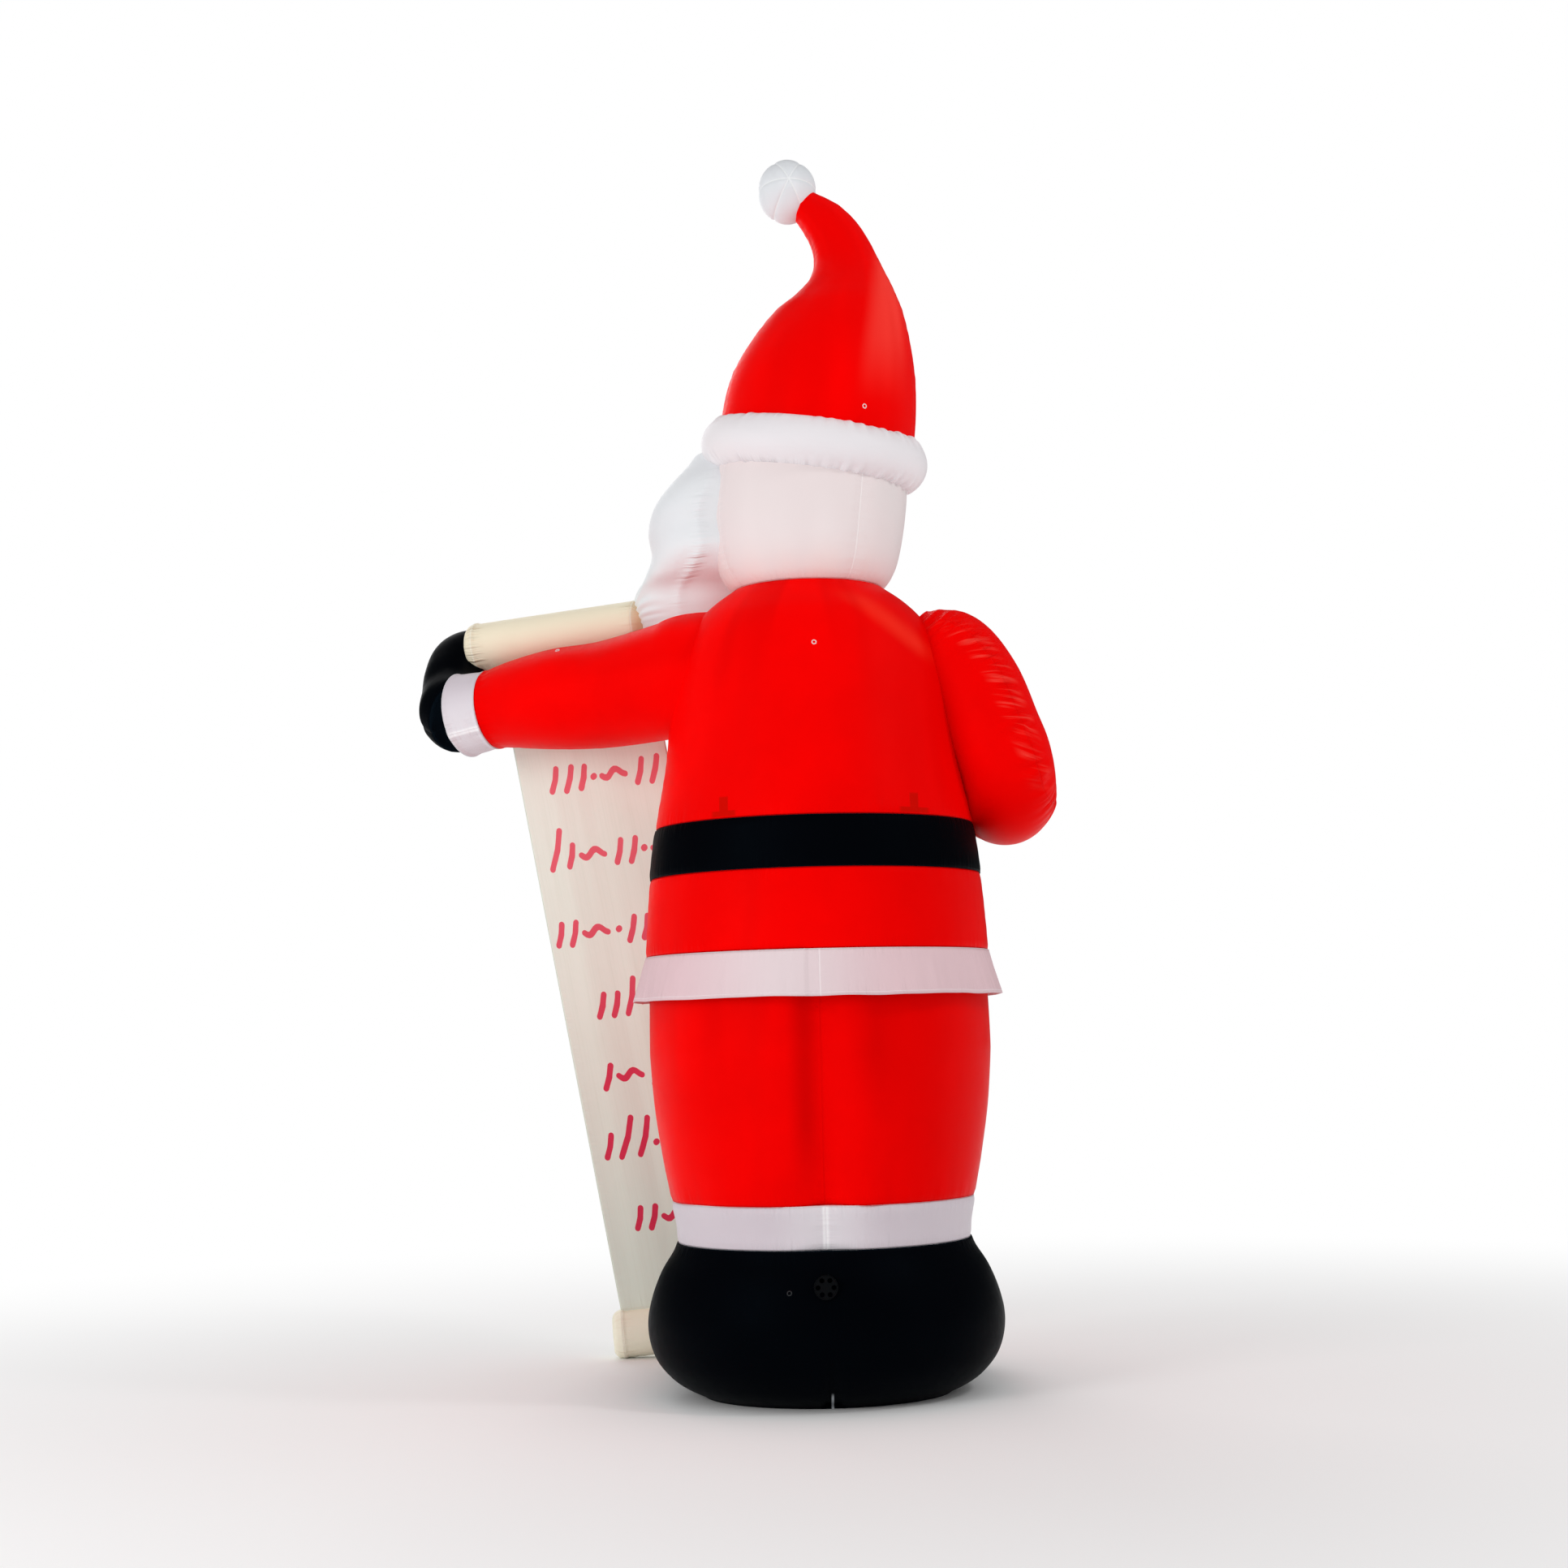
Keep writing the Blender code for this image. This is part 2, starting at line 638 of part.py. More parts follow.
def make_coat(parts, red, black):
    loft("coat_skirt", [body_ring(z) for z in heights(COAT_BOTTOM, BELT_BOTTOM - GAP, 2)], parts, red)
    belt = [body_ring(z, grow=BELT_PROUD) for z in heights(BELT_BOTTOM, BELT_TOP - GAP, 1)]
    loft("belt", belt, parts, black)
    rows = [row[0] * UNIT for row in BODY_OUTLINE]
    levels = [BELT_TOP] + [height for height in rows if BELT_TOP < height < COLLAR_HEIGHT]
    rings = [body_ring(z) for z in levels + [COLLAR_HEIGHT - GAP]]
    return loft("coat", rings, parts, red)


def make_arm(side, sleeve, cuff, mitten, thumb, parts, cutters, coat, fabrics):
    red, white, black = fabrics
    arm = limb(f"{side}_sleeve", sleeve, parts, red, steps=1 if len(sleeve) > DENSE_TABLE else 2)
    clear_of(arm, coat, cutters)
    band = limb(f"{side}_cuff", cuff, parts, white, start_gap=GAP, steps=1)
    hand = limb(f"{side}_mitten", mitten, parts, black, start_gap=GAP, steps=1)
    boolean(hand, limb(f"{side} thumb", thumb, cutters, None, steps=1, sides=THUMB_SIDES), "UNION")
    for piece, neighbour in ((band, arm), (hand, band)):
        clear_of(piece, neighbour, cutters)
    return arm, hand


def make_head(parts, white):
    rings = []
    axis = Vector((0, 0, 1))
    top = HEAD_OUTLINE[-1][0] * UNIT
    stretch = (BRIM_CENTRE.z - COLLAR_HEIGHT) / top
    for above, radius in HEAD_OUTLINE:
        above *= UNIT
        share = max(0.0, (above - HEAD_UPRIGHT) / (top - HEAD_UPRIGHT))
        normal = axis.lerp(BRIM_SLOPE, share**2).normalized()
        centre = Vector((BRIM_CENTRE.x * share**2, 0, COLLAR_HEIGHT + above * stretch))
        if above == top:
            centre = HAT_SEAM - normal * GAP
        rings.append(tilted_ring(centre, normal, radius * UNIT, HEAD_SIDES))
    return loft("head", rings, parts, white)


def make_brim(parts, white):
    bpy.ops.mesh.primitive_torus_add(
        major_segments=28, minor_segments=8, major_radius=BRIM_RADIUS, minor_radius=BRIM_THICKNESS
    )
    brim = bpy.context.object
    brim.name = brim.data.name = "hat_brim"
    for collection in list(brim.users_collection):
        collection.objects.unlink(brim)
    parts.objects.link(brim)
    brim.data.materials.append(white)
    brim.matrix_world = point_along(BRIM_SLOPE, BRIM_CENTRE)
    return smooth(brim)


def make_hat(parts, red):
    rings = [tilted_ring(HAT_SEAM, BRIM_SLOPE, HAT_SEAM_RADIUS, HEAD_SIDES)]
    for x, y, z, radius, lean in HAT:
        normal = Vector((sin(radians(lean)), 0, cos(radians(lean))))
        rings.append(tilted_ring(Vector((x, y, z)) * UNIT, normal, radius * UNIT, HEAD_SIDES))
    return loft("hat", rings, parts, red)


def make_beard(parts, white):
    rings = []
    for height, forward, depth, width in BEARD:
        ring = []
        for i in range(BEARD_SIDES):
            angle = 2 * pi * i / BEARD_SIDES
            ring.append(head_place(forward + depth * cos(angle), width * sin(angle), height) * UNIT)
        rings.append(ring)
    return loft("beard", rings, parts, white)


def turned_to_face(obj, place):
    """Puts an object whose own X axis points forward at a place given in the head's axes."""
    obj.matrix_world = Matrix.Translation(head_place(*place)) @ Matrix.Rotation(HEAD_TURN - pi / 2, 4, "Z")
    return obj


def make_face(parts, cutters, head, brim, hat, beard, fabrics):
    skin, pink, white = fabrics
    face = turned_to_face(ellipsoid("face", (0, 0, 0), FACE_RADII, parts, skin, 18, 10), FACE_CENTRE)
    opening = rod("face opening", 1.0, 0.0, 2 * UNIT, cutters, 24)
    half_width, half_height = FACE_OPENING_RADII
    opening.matrix_world = (
        Matrix.Translation(head_place(0, 0, FACE_OPENING_HEIGHT))
        @ Matrix.Rotation(HEAD_TURN - pi / 2, 4, "Z")
        @ Matrix.Rotation(pi / 2, 4, "Y")
        @ Matrix.Diagonal((half_height, half_width, 1, 1))
    )
    boolean(beard, opening)
    nose = turned_to_face(
        ellipsoid("nose", (0, 0, 0), (NOSE_RADIUS,) * 3, parts, pink, 12, 8), NOSE_CENTRE
    )
    middle = FACE_OPENING_HEIGHT / UNIT
    whole = [(f, -l, below, r) for f, l, below, r in MOUSTACHE_HALF[:0:-1]] + list(MOUSTACHE_HALF)
    stations = [(*head_place(forward, left, middle - below), r) for forward, left, below, r in whole]
    moustache = limb("moustache", stations, parts, white, steps=1, sides=12)
    for piece, neighbours in (
        (face, (head, brim, hat)),
        (beard, (head, brim, hat, face, moustache)),
        (moustache, (face,)),
        (nose, (face, moustache)),
    ):
        for neighbour in neighbours:
            clear_of(piece, neighbour, cutters)


def make_roll(name, ends, parts, cream):
    left, right = ends
    length = (right - left).length
    rounding = ROLL_END_ROUNDING
    quarter = [
        (ROLL_RADIUS - rounding + rounding * sin(a), rounding - rounding * cos(a))
        for a in (0, pi / 6, pi / 3, pi / 2)
    ]
    far_end = [(0, length)] + [(r, length - z) for r, z in quarter]
    profile = far_end + [(r, z) for r, z in quarter[::-1]] + [(0, 0)]
    roll = turned(name, profile, parts, cream, 20)
    roll.matrix_world = point_along(right - left, left)
    return roll


def make_sheet(parts, cutters, top_roll, bottom_roll, ivory):
    """Hanging list: a thin strip ruled between the two rolls."""

    def edge(ends, margin):
        left, right = ends
        along = (right - left).normalized()
        return left + along * margin, left + along * (margin + SHEET_WIDTH)

    top_left, top_right = edge(TOP_ROLL_ENDS, TOP_ROLL_MARGIN)
    low_left, low_right = edge(BOTTOM_ROLL_ENDS, BOTTOM_ROLL_MARGIN)
    shape = bmesh.new()
    bmesh.ops.create_grid(shape, x_segments=SHEET_COLUMNS, y_segments=SHEET_ROWS, size=0.5)
    for vert in shape.verts:
        across, down = vert.co.x + 0.5, 0.5 - vert.co.y
        upper = top_left.lerp(top_right, across)
        lower = low_left.lerp(low_right, across)
        vert.co = upper.lerp(lower, down)
    mesh = bpy.data.meshes.new("scroll_sheet")
    shape.to_mesh(mesh)
    shape.free()
    sheet = smooth(add_object("scroll_sheet", mesh, parts, ivory))
    wall = sheet.modifiers.new("fabric", "SOLIDIFY")
    wall.thickness = SHEET_THICKNESS
    wall.offset = 0.0
    for roll in (top_roll, bottom_roll):
        clear_of(sheet, roll, cutters)
    return sheet


def make_ring(name, carrier, place, parts, white):
    """Small sewn ring lying flat on the fabric that carries it."""
    at, normal = from_behind(carrier, *place)
    bpy.ops.mesh.primitive_torus_add(
        major_segments=10, minor_segments=4, major_radius=RING_RADIUS, minor_radius=RING_WIRE
    )
    ring = bpy.context.object
    ring.name = ring.data.name = name
    for collection in list(ring.users_collection):
        collection.objects.unlink(ring)
    parts.objects.link(ring)
    ring.data.materials.append(white)
    ring.matrix_world = point_along(normal, at + normal * (RING_WIRE + 4 * GAP))
    smooth(ring)


def main():
    clear_scene()
    parts = new_collection("inflatable_santa")
    cutters = new_collection("cutters", hidden=True)
    red, white = cloth("red fabric", RED, 0.42), cloth("white fabric", WHITE)
    black, cream = cloth("black fabric", BLACK, 0.38), cloth("cream fabric", CREAM)
    ivory = cloth("list fabric", IVORY, 0.65)
    skin = cloth("skin fabric", SKIN)
    pink = cloth("nose fabric", NOSE_PINK)
    plastic = cloth("black plastic", BLACK, 0.35)

    boots = make_boots(parts, cutters, black)
    make_blower(parts, cutters, boots, plastic)
    make_legs(parts, white, red)
    make_hem(parts, white)
    coat = make_coat(parts, red, black)
    fabrics = (red, white, black)
    left_arm, left_hand = make_arm(
        "left", LEFT_SLEEVE, LEFT_CUFF, LEFT_MITTEN, LEFT_THUMB, parts, cutters, coat, fabrics
    )
    make_arm("right", RIGHT_SLEEVE, RIGHT_CUFF, RIGHT_MITTEN, RIGHT_THUMB, parts, cutters, coat, fabrics)

    head = make_head(parts, white)
    brim = make_brim(parts, white)
    hat = make_hat(parts, red)
    pompom = ellipsoid("pompom", POMPOM_CENTRE, POMPOM_RADII, parts, white, 16, 10)
    clear_of(head, brim, cutters)
    clear_of(hat, brim, cutters)
    clear_of(hat, pompom, cutters)

    beard = make_beard(parts, white)
    make_face(parts, cutters, head, brim, hat, beard, (skin, pink, white))
    top_roll = make_roll("scroll_top_roll", TOP_ROLL_ENDS, parts, cream)
    bottom_roll = make_roll("scroll_bottom_roll", BOTTOM_ROLL_ENDS, parts, cream)
    make_sheet(parts, cutters, top_roll, bottom_roll, ivory)
    for neighbour in (coat, left_arm, top_roll):
        clear_of(beard, neighbour, cutters)
    clear_of(left_hand, top_roll, cutters)

    for name, carrier, place in (
        ("tether_ring_hat", hat, HAT_RING),
        ("tether_ring_back", coat, BACK_RING),
        ("tether_ring_sleeve", left_arm, SLEEVE_RING),
        ("tether_ring_boots", boots, BOOT_RING),
    ):
        make_ring(name, carrier, place, parts, white)


main()
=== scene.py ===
from math import acos, atan2, cos, exp, pi, radians, sin, sqrt

import bmesh
import bpy
from mathutils import Matrix, Vector, noise


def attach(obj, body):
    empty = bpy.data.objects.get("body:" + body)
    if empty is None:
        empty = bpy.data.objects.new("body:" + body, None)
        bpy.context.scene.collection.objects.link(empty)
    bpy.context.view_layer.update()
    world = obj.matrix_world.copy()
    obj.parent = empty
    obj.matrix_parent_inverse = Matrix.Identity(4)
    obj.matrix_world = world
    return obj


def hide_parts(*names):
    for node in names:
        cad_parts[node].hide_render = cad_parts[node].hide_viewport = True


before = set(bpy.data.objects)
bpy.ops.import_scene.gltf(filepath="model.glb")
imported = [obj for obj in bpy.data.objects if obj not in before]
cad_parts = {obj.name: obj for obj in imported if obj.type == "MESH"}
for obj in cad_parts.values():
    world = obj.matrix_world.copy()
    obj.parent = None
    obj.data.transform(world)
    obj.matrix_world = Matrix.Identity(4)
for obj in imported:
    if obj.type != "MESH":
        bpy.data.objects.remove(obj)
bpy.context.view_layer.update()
print("frame loaded")


class Wire:
    def __init__(self, kit, socket):
        self.kit = kit
        self.socket = socket

    def __add__(self, other):
        return self.kit.maths("ADD", self, other)

    def __radd__(self, other):
        return self.kit.maths("ADD", other, self)

    def __sub__(self, other):
        return self.kit.maths("SUBTRACT", self, other)

    def __rsub__(self, other):
        return self.kit.maths("SUBTRACT", other, self)

    def __mul__(self, other):
        return self.kit.maths("MULTIPLY", self, other)

    def __rmul__(self, other):
        return self.kit.maths("MULTIPLY", other, self)

    def __truediv__(self, other):
        return self.kit.maths("DIVIDE", self, other)

    def __rtruediv__(self, other):
        return self.kit.maths("DIVIDE", other, self)


class Finish:
    # a material under construction
    def __init__(self, name, **fixed):
        self.material = bpy.data.materials.new(name)
        self.material.use_nodes = True
        self.tree = self.material.node_tree
        self.shader = self.tree.nodes["Principled BSDF"]
        for socket, value in fixed.items():
            self.shader.inputs[socket.replace("_", " ")].default_value = value

    def node(self, kind, settings=None, inputs=None, output=0):
        # adds a node: its settings first, then the values or links of its sockets
        made = self.tree.nodes.new(kind)
        for key, value in (settings or {}).items():
            setattr(made, key, value)
        for key, value in (inputs or {}).items():
            if isinstance(value, Wire):
                self.tree.links.new(value.socket, made.inputs[key])
            else:
                made.inputs[key].default_value = value
        return Wire(self, made.outputs[output])

    def maths(self, operation, *values):
        return self.node("ShaderNodeMath", {"operation": operation}, dict(enumerate(values)))

    def feed(self, socket, wire):
        self.tree.links.new(wire.socket, self.shader.inputs[socket])

    def split(self, vector):
        return tuple(self.node("ShaderNodeSeparateXYZ", inputs={0: vector}, output=i) for i in range(3))

    def place(self):
        return self.split(self.node("ShaderNodeTexCoord", output="Object"))

    def stored(self, name, vector=False):
        return self.node("ShaderNodeAttribute", {"attribute_name": name}, output="Vector" if vector else "Fac")

    def point(self, x, y, z):
        return self.node("ShaderNodeCombineXYZ", inputs={0: x, 1: y, 2: z})

    def clouds(self, at, scale, detail=2.0, roughness=0.5):
        settings = {"Vector": at, "Scale": scale, "Detail": detail, "Roughness": roughness}
        return self.node("ShaderNodeTexNoise", inputs=settings)

    def ease(self, value, start, end, low=0.0, high=1.0):
        return self.node(
            "ShaderNodeMapRange",
            {"interpolation_type": "SMOOTHSTEP"},
            {"Value": value, "From Min": start, "From Max": end, "To Min": low, "To Max": high},
        )

    def patches(self, at, scale, detail, roughness, start, end, low=0.0):
        # clouds with softer or harder edges
        return self.ease(self.clouds(at, scale, detail, roughness), start, end, low)

    def hump(self, value, centre, reach):
        # 1 at the centre, falling smoothly to 0 at the reach on either side
        return self.ease(self.maths("ABSOLUTE", value - centre), 0.0, reach, 1.0, 0.0)

    def blend(self, share, first, second):
        def tint(value):
            return value if isinstance(value, Wire) else (*value, 1)

        sockets = {0: share, 6: tint(first), 7: tint(second)}
        return self.node("ShaderNodeMix", {"data_type": "RGBA"}, sockets, output=2)

    def relief(self, height):
        bump = self.node("ShaderNodeBump", inputs={"Height": height, "Distance": 1.0, "Strength": 1.0})
        self.feed("Normal", bump)


fabricLook = {
    "weavePitch": 0.0042,      # one thread pair, m
    "threadsRound": 640.0,     # for each radian of the way round
    "weaveDepth": 0.00012,
    "puckerDepth": 0.0075,
    "puckerReach": 0.085,      # how far fine puckers run out from a seam
    "stitchWidth": 0.0055,
    "stitchDepth": 0.0012,
    "stitchRough": 0.1,
    "sheenRough": 0.4,
    "cloudShare": 0.55,
    "grimeShare": 0.12,
    # noise: how many to the metre, detail, roughness, and the values between which it rises
    "cloud": (1.3, 3.0, 0.5, 0.32, 0.68),
    "grime": (9.0, 4.0, 0.6, 0.35, 0.75),
    "uneven": (3.1, 1.0, 0.5, 0.35, 0.65, 0.25),
    "ringPuckers": (34.0, 2.0, 0.6, 0.30, 0.70),
    "longPuckers": (30.0, 2.0, 0.6, 0.30, 0.70),
    "ringFolds": (38.0, 1.0, 0.5, 0.50, 0.60),
    "longFolds": (42.0, 2.0, 0.6, 0.50, 0.62),
    # the next three set the painted shade bands of soft folds
    "shadeBands": (1.0, 2.0, 0.5, 0.44, 0.62),
    "shadeBandsRound": 2.6,
    "shadeBandsAlong": 0.45,
    # noise that isn't cut off: how many to the metre, detail, roughness, and its size
    "slack": (4.2, 3.0, 0.55),
    "slackDepth": 0.0016,
    "wear": (21.0, 3.0),
    "wearSize": 0.16,
}


def fabric(
    name, colour, deep, seam, rough=0.45, gloss=0.35, glossTint=(1, 1, 1), sheen=0.0, sheenTint=(1, 1, 1),
    puckers=1.0, tints=(), seamShow=0.7, fold=None, foldShow=0.5, bandShade=0.0,
):
    # coated nylon: two close colours in soft clouds, a stitched line along each seam, and fine puckers beside it
    look = fabricLook
    kit = Finish(
        name,
        Metallic=0.0,
        Specular_IOR_Level=gloss,
        Specular_Tint=(*glossTint, 1),
        Sheen_Weight=sheen,
        Sheen_Roughness=look["sheenRough"],
        Sheen_Tint=(*sheenTint, 1),
    )
    x, y, z = kit.place()
    at = kit.point(x, y, z)
    ax, ay, along = kit.split(kit.stored("around", True))
    seams = kit.stored("ringSeam"), kit.stored("longSeam")
    nearRing, nearLong = (kit.ease(gap, 0.0, look["puckerReach"], 1.0, 0.0) for gap in seams)
    uneven = kit.patches(at, *look["uneven"])

    def beside(ringNoise, longNoise):
        # noise that only varies along a seam, fading away from it
        byRing = kit.patches(kit.point(ax, ay, 0.0), *look[ringNoise])
        byLength = kit.patches(kit.point(0.0, 0.0, along), *look[longNoise])
        return (byRing * nearRing + byLength * nearLong) * uneven

    cloud, grime = kit.patches(at, *look["cloud"]), kit.patches(at, *look["grime"])
    tone = kit.blend(cloud * look["cloudShare"] + grime * look["grimeShare"], colour, deep)
    for tint, share in tints:
        tone = kit.blend(share(kit, x, y, z), tone, tint)
    if fold:
        # the grooves between puckers lie in shade
        tone = kit.blend(beside("ringFolds", "longFolds") * foldShow, tone, fold)
    if bandShade:
        # painted shade: long soft darker bands, where soft folds of the cloth lie in shade
        shadeBandAt = kit.point(ax * look["shadeBandsRound"], ay * look["shadeBandsRound"], along * look["shadeBandsAlong"])
        tone = kit.blend(kit.patches(shadeBandAt, *look["shadeBands"]) * bandShade, tone, deep)
    wide = look["stitchWidth"]
    stitch = kit.maths("MAXIMUM", *(kit.ease(gap, wide * 0.4, wide, 1.0, 0.0) for gap in seams))
    tone = kit.blend(stitch * seamShow, tone, seam)

    # the weave is two sines across each other
    threads = kit.maths("SINE", kit.maths("ARCTAN2", ax, ay) * look["threadsRound"])
    courses = kit.maths("SINE", along * (2 * pi / look["weavePitch"]))
    weave = threads * courses * look["weaveDepth"]
    pucker = beside("ringPuckers", "longPuckers") * (look["puckerDepth"] * puckers)
    slack = kit.clouds(at, *look["slack"]) * look["slackDepth"]
    kit.relief(pucker + weave + slack - stitch * look["stitchDepth"])
    kit.feed("Base Color", tone)
    wear = kit.clouds(at, *look["wear"]) * look["wearSize"] + (rough - look["wearSize"] / 2)
    kit.feed("Roughness", wear + stitch * look["stitchRough"])
    return kit


def smoothRows(rows, share):
    # Catmull-Rom through rows of numbers; share runs 0 to 1 over the whole table
    last = len(rows) - 1
    spot = min(max(share, 0.0), 1.0) * last
    i = min(int(spot), last - 1)
    t = spot - i
    b, c = Vector(rows[i]), Vector(rows[i + 1])
    a = Vector(rows[i - 1]) if i > 0 else 2 * b - c
    d = Vector(rows[i + 2]) if i < last - 1 else 2 * c - b
    return 0.5 * (2 * b + (c - a) * t + (2 * a - 5 * b + 4 * c - d) * t**2 + (3 * b - a - 3 * c + d) * t**3)


def byHeight(rows, height):
    # the other columns of a table at a height, on a smooth curve
    for i in range(len(rows) - 1):
        low, high = rows[i], rows[i + 1]
        if height <= high[0] or i == len(rows) - 2:
            before, after = rows[max(i - 1, 0)], rows[min(i + 2, len(rows) - 1)]
            span = high[0] - low[0]
            t = (height - low[0]) / span
            found = []
            for k in range(1, len(low)):
                slopeLow = (high[k] - before[k]) / (high[0] - before[0]) * span
                slopeHigh = (after[k] - low[k]) / (after[0] - low[0]) * span
                found.append(
                    low[k] * (2 * t**3 - 3 * t**2 + 1)
                    + slopeLow * (t**3 - 2 * t**2 + t)
                    + high[k] * (3 * t**2 - 2 * t**3)
                    + slopeHigh * (t**3 - t**2)
                )
            return found


def turnGap(angle, other):
    # smallest turn between two angles
    return abs((angle - other + pi) % (2 * pi) - pi)


def clothLayers(shape):
    # the vertex layers that the cloth reads, made where they are missing
    vectors, numbers = shape.verts.layers.float_vector, shape.verts.layers.float
    for layers, name in ((vectors, "around"), (numbers, "ringSeam"), (numbers, "longSeam")):
        if name not in layers:
            layers.new(name)
    return vectors["around"], numbers["ringSeam"], numbers["longSeam"]


def sleeveOf(place, segments, rows):
    # a cylinder cut into rows, whose vertices go to place(angle, share); returns the shape and its rings
    shape = bmesh.new()
    clothLayers(shape)
    bmesh.ops.create_cone(shape, cap_ends=False, segments=segments, radius1=1.0, radius2=1.0, depth=1.0)
    uprights = [edge for edge in shape.edges if abs(edge.verts[0].co.z - edge.verts[1].co.z) > 0.5]
    bmesh.ops.subdivide_edges(shape, edges=uprights, cuts=rows - 1)
    rings = [[] for _ in range(rows + 1)]
    for vert in shape.verts:
        angle = atan2(vert.co.x, vert.co.y)
        row = round((vert.co.z + 0.5) * rows)
        rings[row].append((angle, vert))
    for row, ring in enumerate(rings):
        ring.sort(key=lambda item: item[0])
        for angle, vert in ring:
            vert.co = place(angle, row / rows)
    return shape, rings


farAway = 9.0      # the distance that stands for no seam at all


def addFacts(shape, rings, ringSeams, longSeams):
    # stores, for the shader, the way round, the distance along, and the distance to each kind of seam
    around, ringSeam, longSeam = clothLayers(shape)
    radii, lengths = [], [0.0]
    for ring in rings:
        spots = [vert.co for _, vert in ring]
        radii.append(sum((a - b).length for a, b in zip(spots, spots[1:] + spots[:1])) / (2 * pi))
    for low, high in zip(rings, rings[1:]):
        step = max(len(low) // 12, 1)
        pairs = [(a[1].co - b[1].co).length for a, b in zip(low[::step], high[::step])]
        lengths.append(lengths[-1] + sum(pairs) / len(pairs))
    widest = max(radii)
    seamLengths = []
    for share in ringSeams:
        spot = share * (len(rings) - 1)
        i = min(int(spot), len(rings) - 2)
        seamLengths.append(lengths[i] + (lengths[i + 1] - lengths[i]) * (spot - i))
    facts = {}
    for ring, radius, length in zip(rings, radii, lengths):
        nearRing = min([abs(length - seam) for seam in seamLengths] or [farAway])
        for angle, vert in ring:
            nearLong = min([turnGap(angle, seam) * radius for seam in longSeams] or [farAway])
            vert[around] = (widest * sin(angle), widest * cos(angle), length)
            vert[ringSeam] = nearRing
            vert[longSeam] = nearLong
            facts[vert] = (widest * sin(angle), widest * cos(angle), length, nearRing, nearLong)
    return facts


def sewn(
    shape, facts, tuck=0.007, tuckReach=0.018, crease=0.006, creaseReach=0.030, pucker=0.006, ringPucker=None,
    reach=0.07, pitch=0.045, seed=0.0,
):
    # pulls the cloth in at its seams and ruffles it beside them
    def ruffle(fine, broad, near, heldReach, depth):
        if near >= 3 * reach:
            return 0.0
        # the stitching holds the cloth nearly smooth, and the ruffles come and go along it
        held = 0.3 + 0.7 * min(near / (reach * heldReach), 1.0)
        patch = max(0.55 + 0.9 * noise.noise(Vector(broad)), 0.1)
        return depth * noise.noise(Vector(fine)) * held * patch * exp(-((near / reach) ** 2))

    broadness = 2.3
    ringDepth = pucker if ringPucker is None else ringPucker
    shape.normal_update()
    for vert, (ax, ay, along, nearRing, nearLong) in facts.items():
        move = -tuck * exp(-((nearRing / tuckReach) ** 2)) - crease * exp(-((nearLong / creaseReach) ** 2))
        broad = (ax * broadness, ay * broadness, seed + 5)
        move += ruffle((ax / pitch, ay / pitch, seed), broad, nearRing, 0.6, ringDepth)
        broad = (seed, along * broadness, 3.0)
        move += ruffle((seed + 2, along / pitch, seed), broad, nearLong, 0.4, pucker)
        vert.co += vert.normal * move


def closeEnds(shape, shrink=0.96):
    # turns each open end inwards and closes it
    ends = [edge for edge in shape.edges if edge.is_boundary]
    made = bmesh.ops.extrude_edge_only(shape, edges=ends)
    fresh = [item for item in made["geom"] if isinstance(item, bmesh.types.BMVert)]
    waiting = set(fresh)
    for start in fresh:
        # walks round the end that this vertex is on, unless that is done
        loop, queue = [], [start] if start in waiting else []
        waiting.discard(start)
        while queue:
            here = queue.pop()
            loop.append(here)
            for other in [edge.other_vert(here) for edge in here.link_edges]:
                if other in waiting:
                    waiting.discard(other)
                    queue.append(other)
        middle = sum((vert.co for vert in loop), Vector()) / max(len(loop), 1)
        for vert in loop:
            vert.co = middle + (vert.co - middle) * shrink
    bmesh.ops.holes_fill(shape, edges=[edge for edge in shape.edges if edge.is_boundary], sides=0)


def meshOf(name, shape):
    mesh = bpy.data.meshes.new(name)
    shape.to_mesh(mesh)
    shape.free()
    return mesh


def objectOf(name, data):
    obj = bpy.data.objects.new(name, data)
    bpy.context.scene.collection.objects.link(obj)
    return obj


def piece(name, shape, finish, slot, *nodes):
    # turns the shape into an object of the figure
    bmesh.ops.recalc_face_normals(shape, faces=shape.faces)
    for face in shape.faces:
        face.smooth = True
    obj = objectOf(name, meshOf(name, shape))
    obj.data.materials.append(finish.material)
    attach(obj, "root")
    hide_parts(*nodes)
    print(name, len(obj.data.polygons), "faces")
    return obj


def sewnPiece(name, place, spec, finish, slot, node):
    # a sleeve of cloth sewn at its seams; a closed form is merged where it meets itself, another has its ends closed
    shape, rings = sleeveOf(place, spec["segments"], spec["rows"])
    facts = addFacts(shape, rings, spec.get("ringSeams", (0.0, 1.0)), spec.get("seams", ()))
    sewn(shape, facts, **spec["sewing"])
    if "merge" in spec:
        bmesh.ops.remove_doubles(shape, verts=shape.verts, dist=spec["merge"])
    else:
        closeEnds(shape)
    return piece(name, shape, finish, slot, node)


# colours: the cloth, its darker clouds, and its seams
red, deepRed, darkRed = (0.97, 0.0004, 0.0003), (0.80, 0.0003, 0.0002), (0.58, 0.0, 0.0)
reds = (red, deepRed, darkRed)
redSheen = {"rough": 0.36, "gloss": 0.022, "glossTint": (1.0, 0.30, 0.25)}
blacks = ((0.0012, 0.0016, 0.0028), (0.0006, 0.0008, 0.0016), (0.003, 0.006, 0.010))
blackSheen = {
    "rough": 0.42, "gloss": 0.012, "glossTint": (0.35, 0.75, 1.0), "sheen": 0.004, "sheenTint": (0.3, 0.7, 1.0),
    "puckers": 0.3,
}
printedWhite = (0.80, 0.76, 0.77)
printedFront = (-0.10, -0.16)      # the print in front fades in between these places on y
crisp = (0.48, 0.52)               # the part of a hump over which a print's edge fades
slitX = -0.0125                    # the slit at the heel


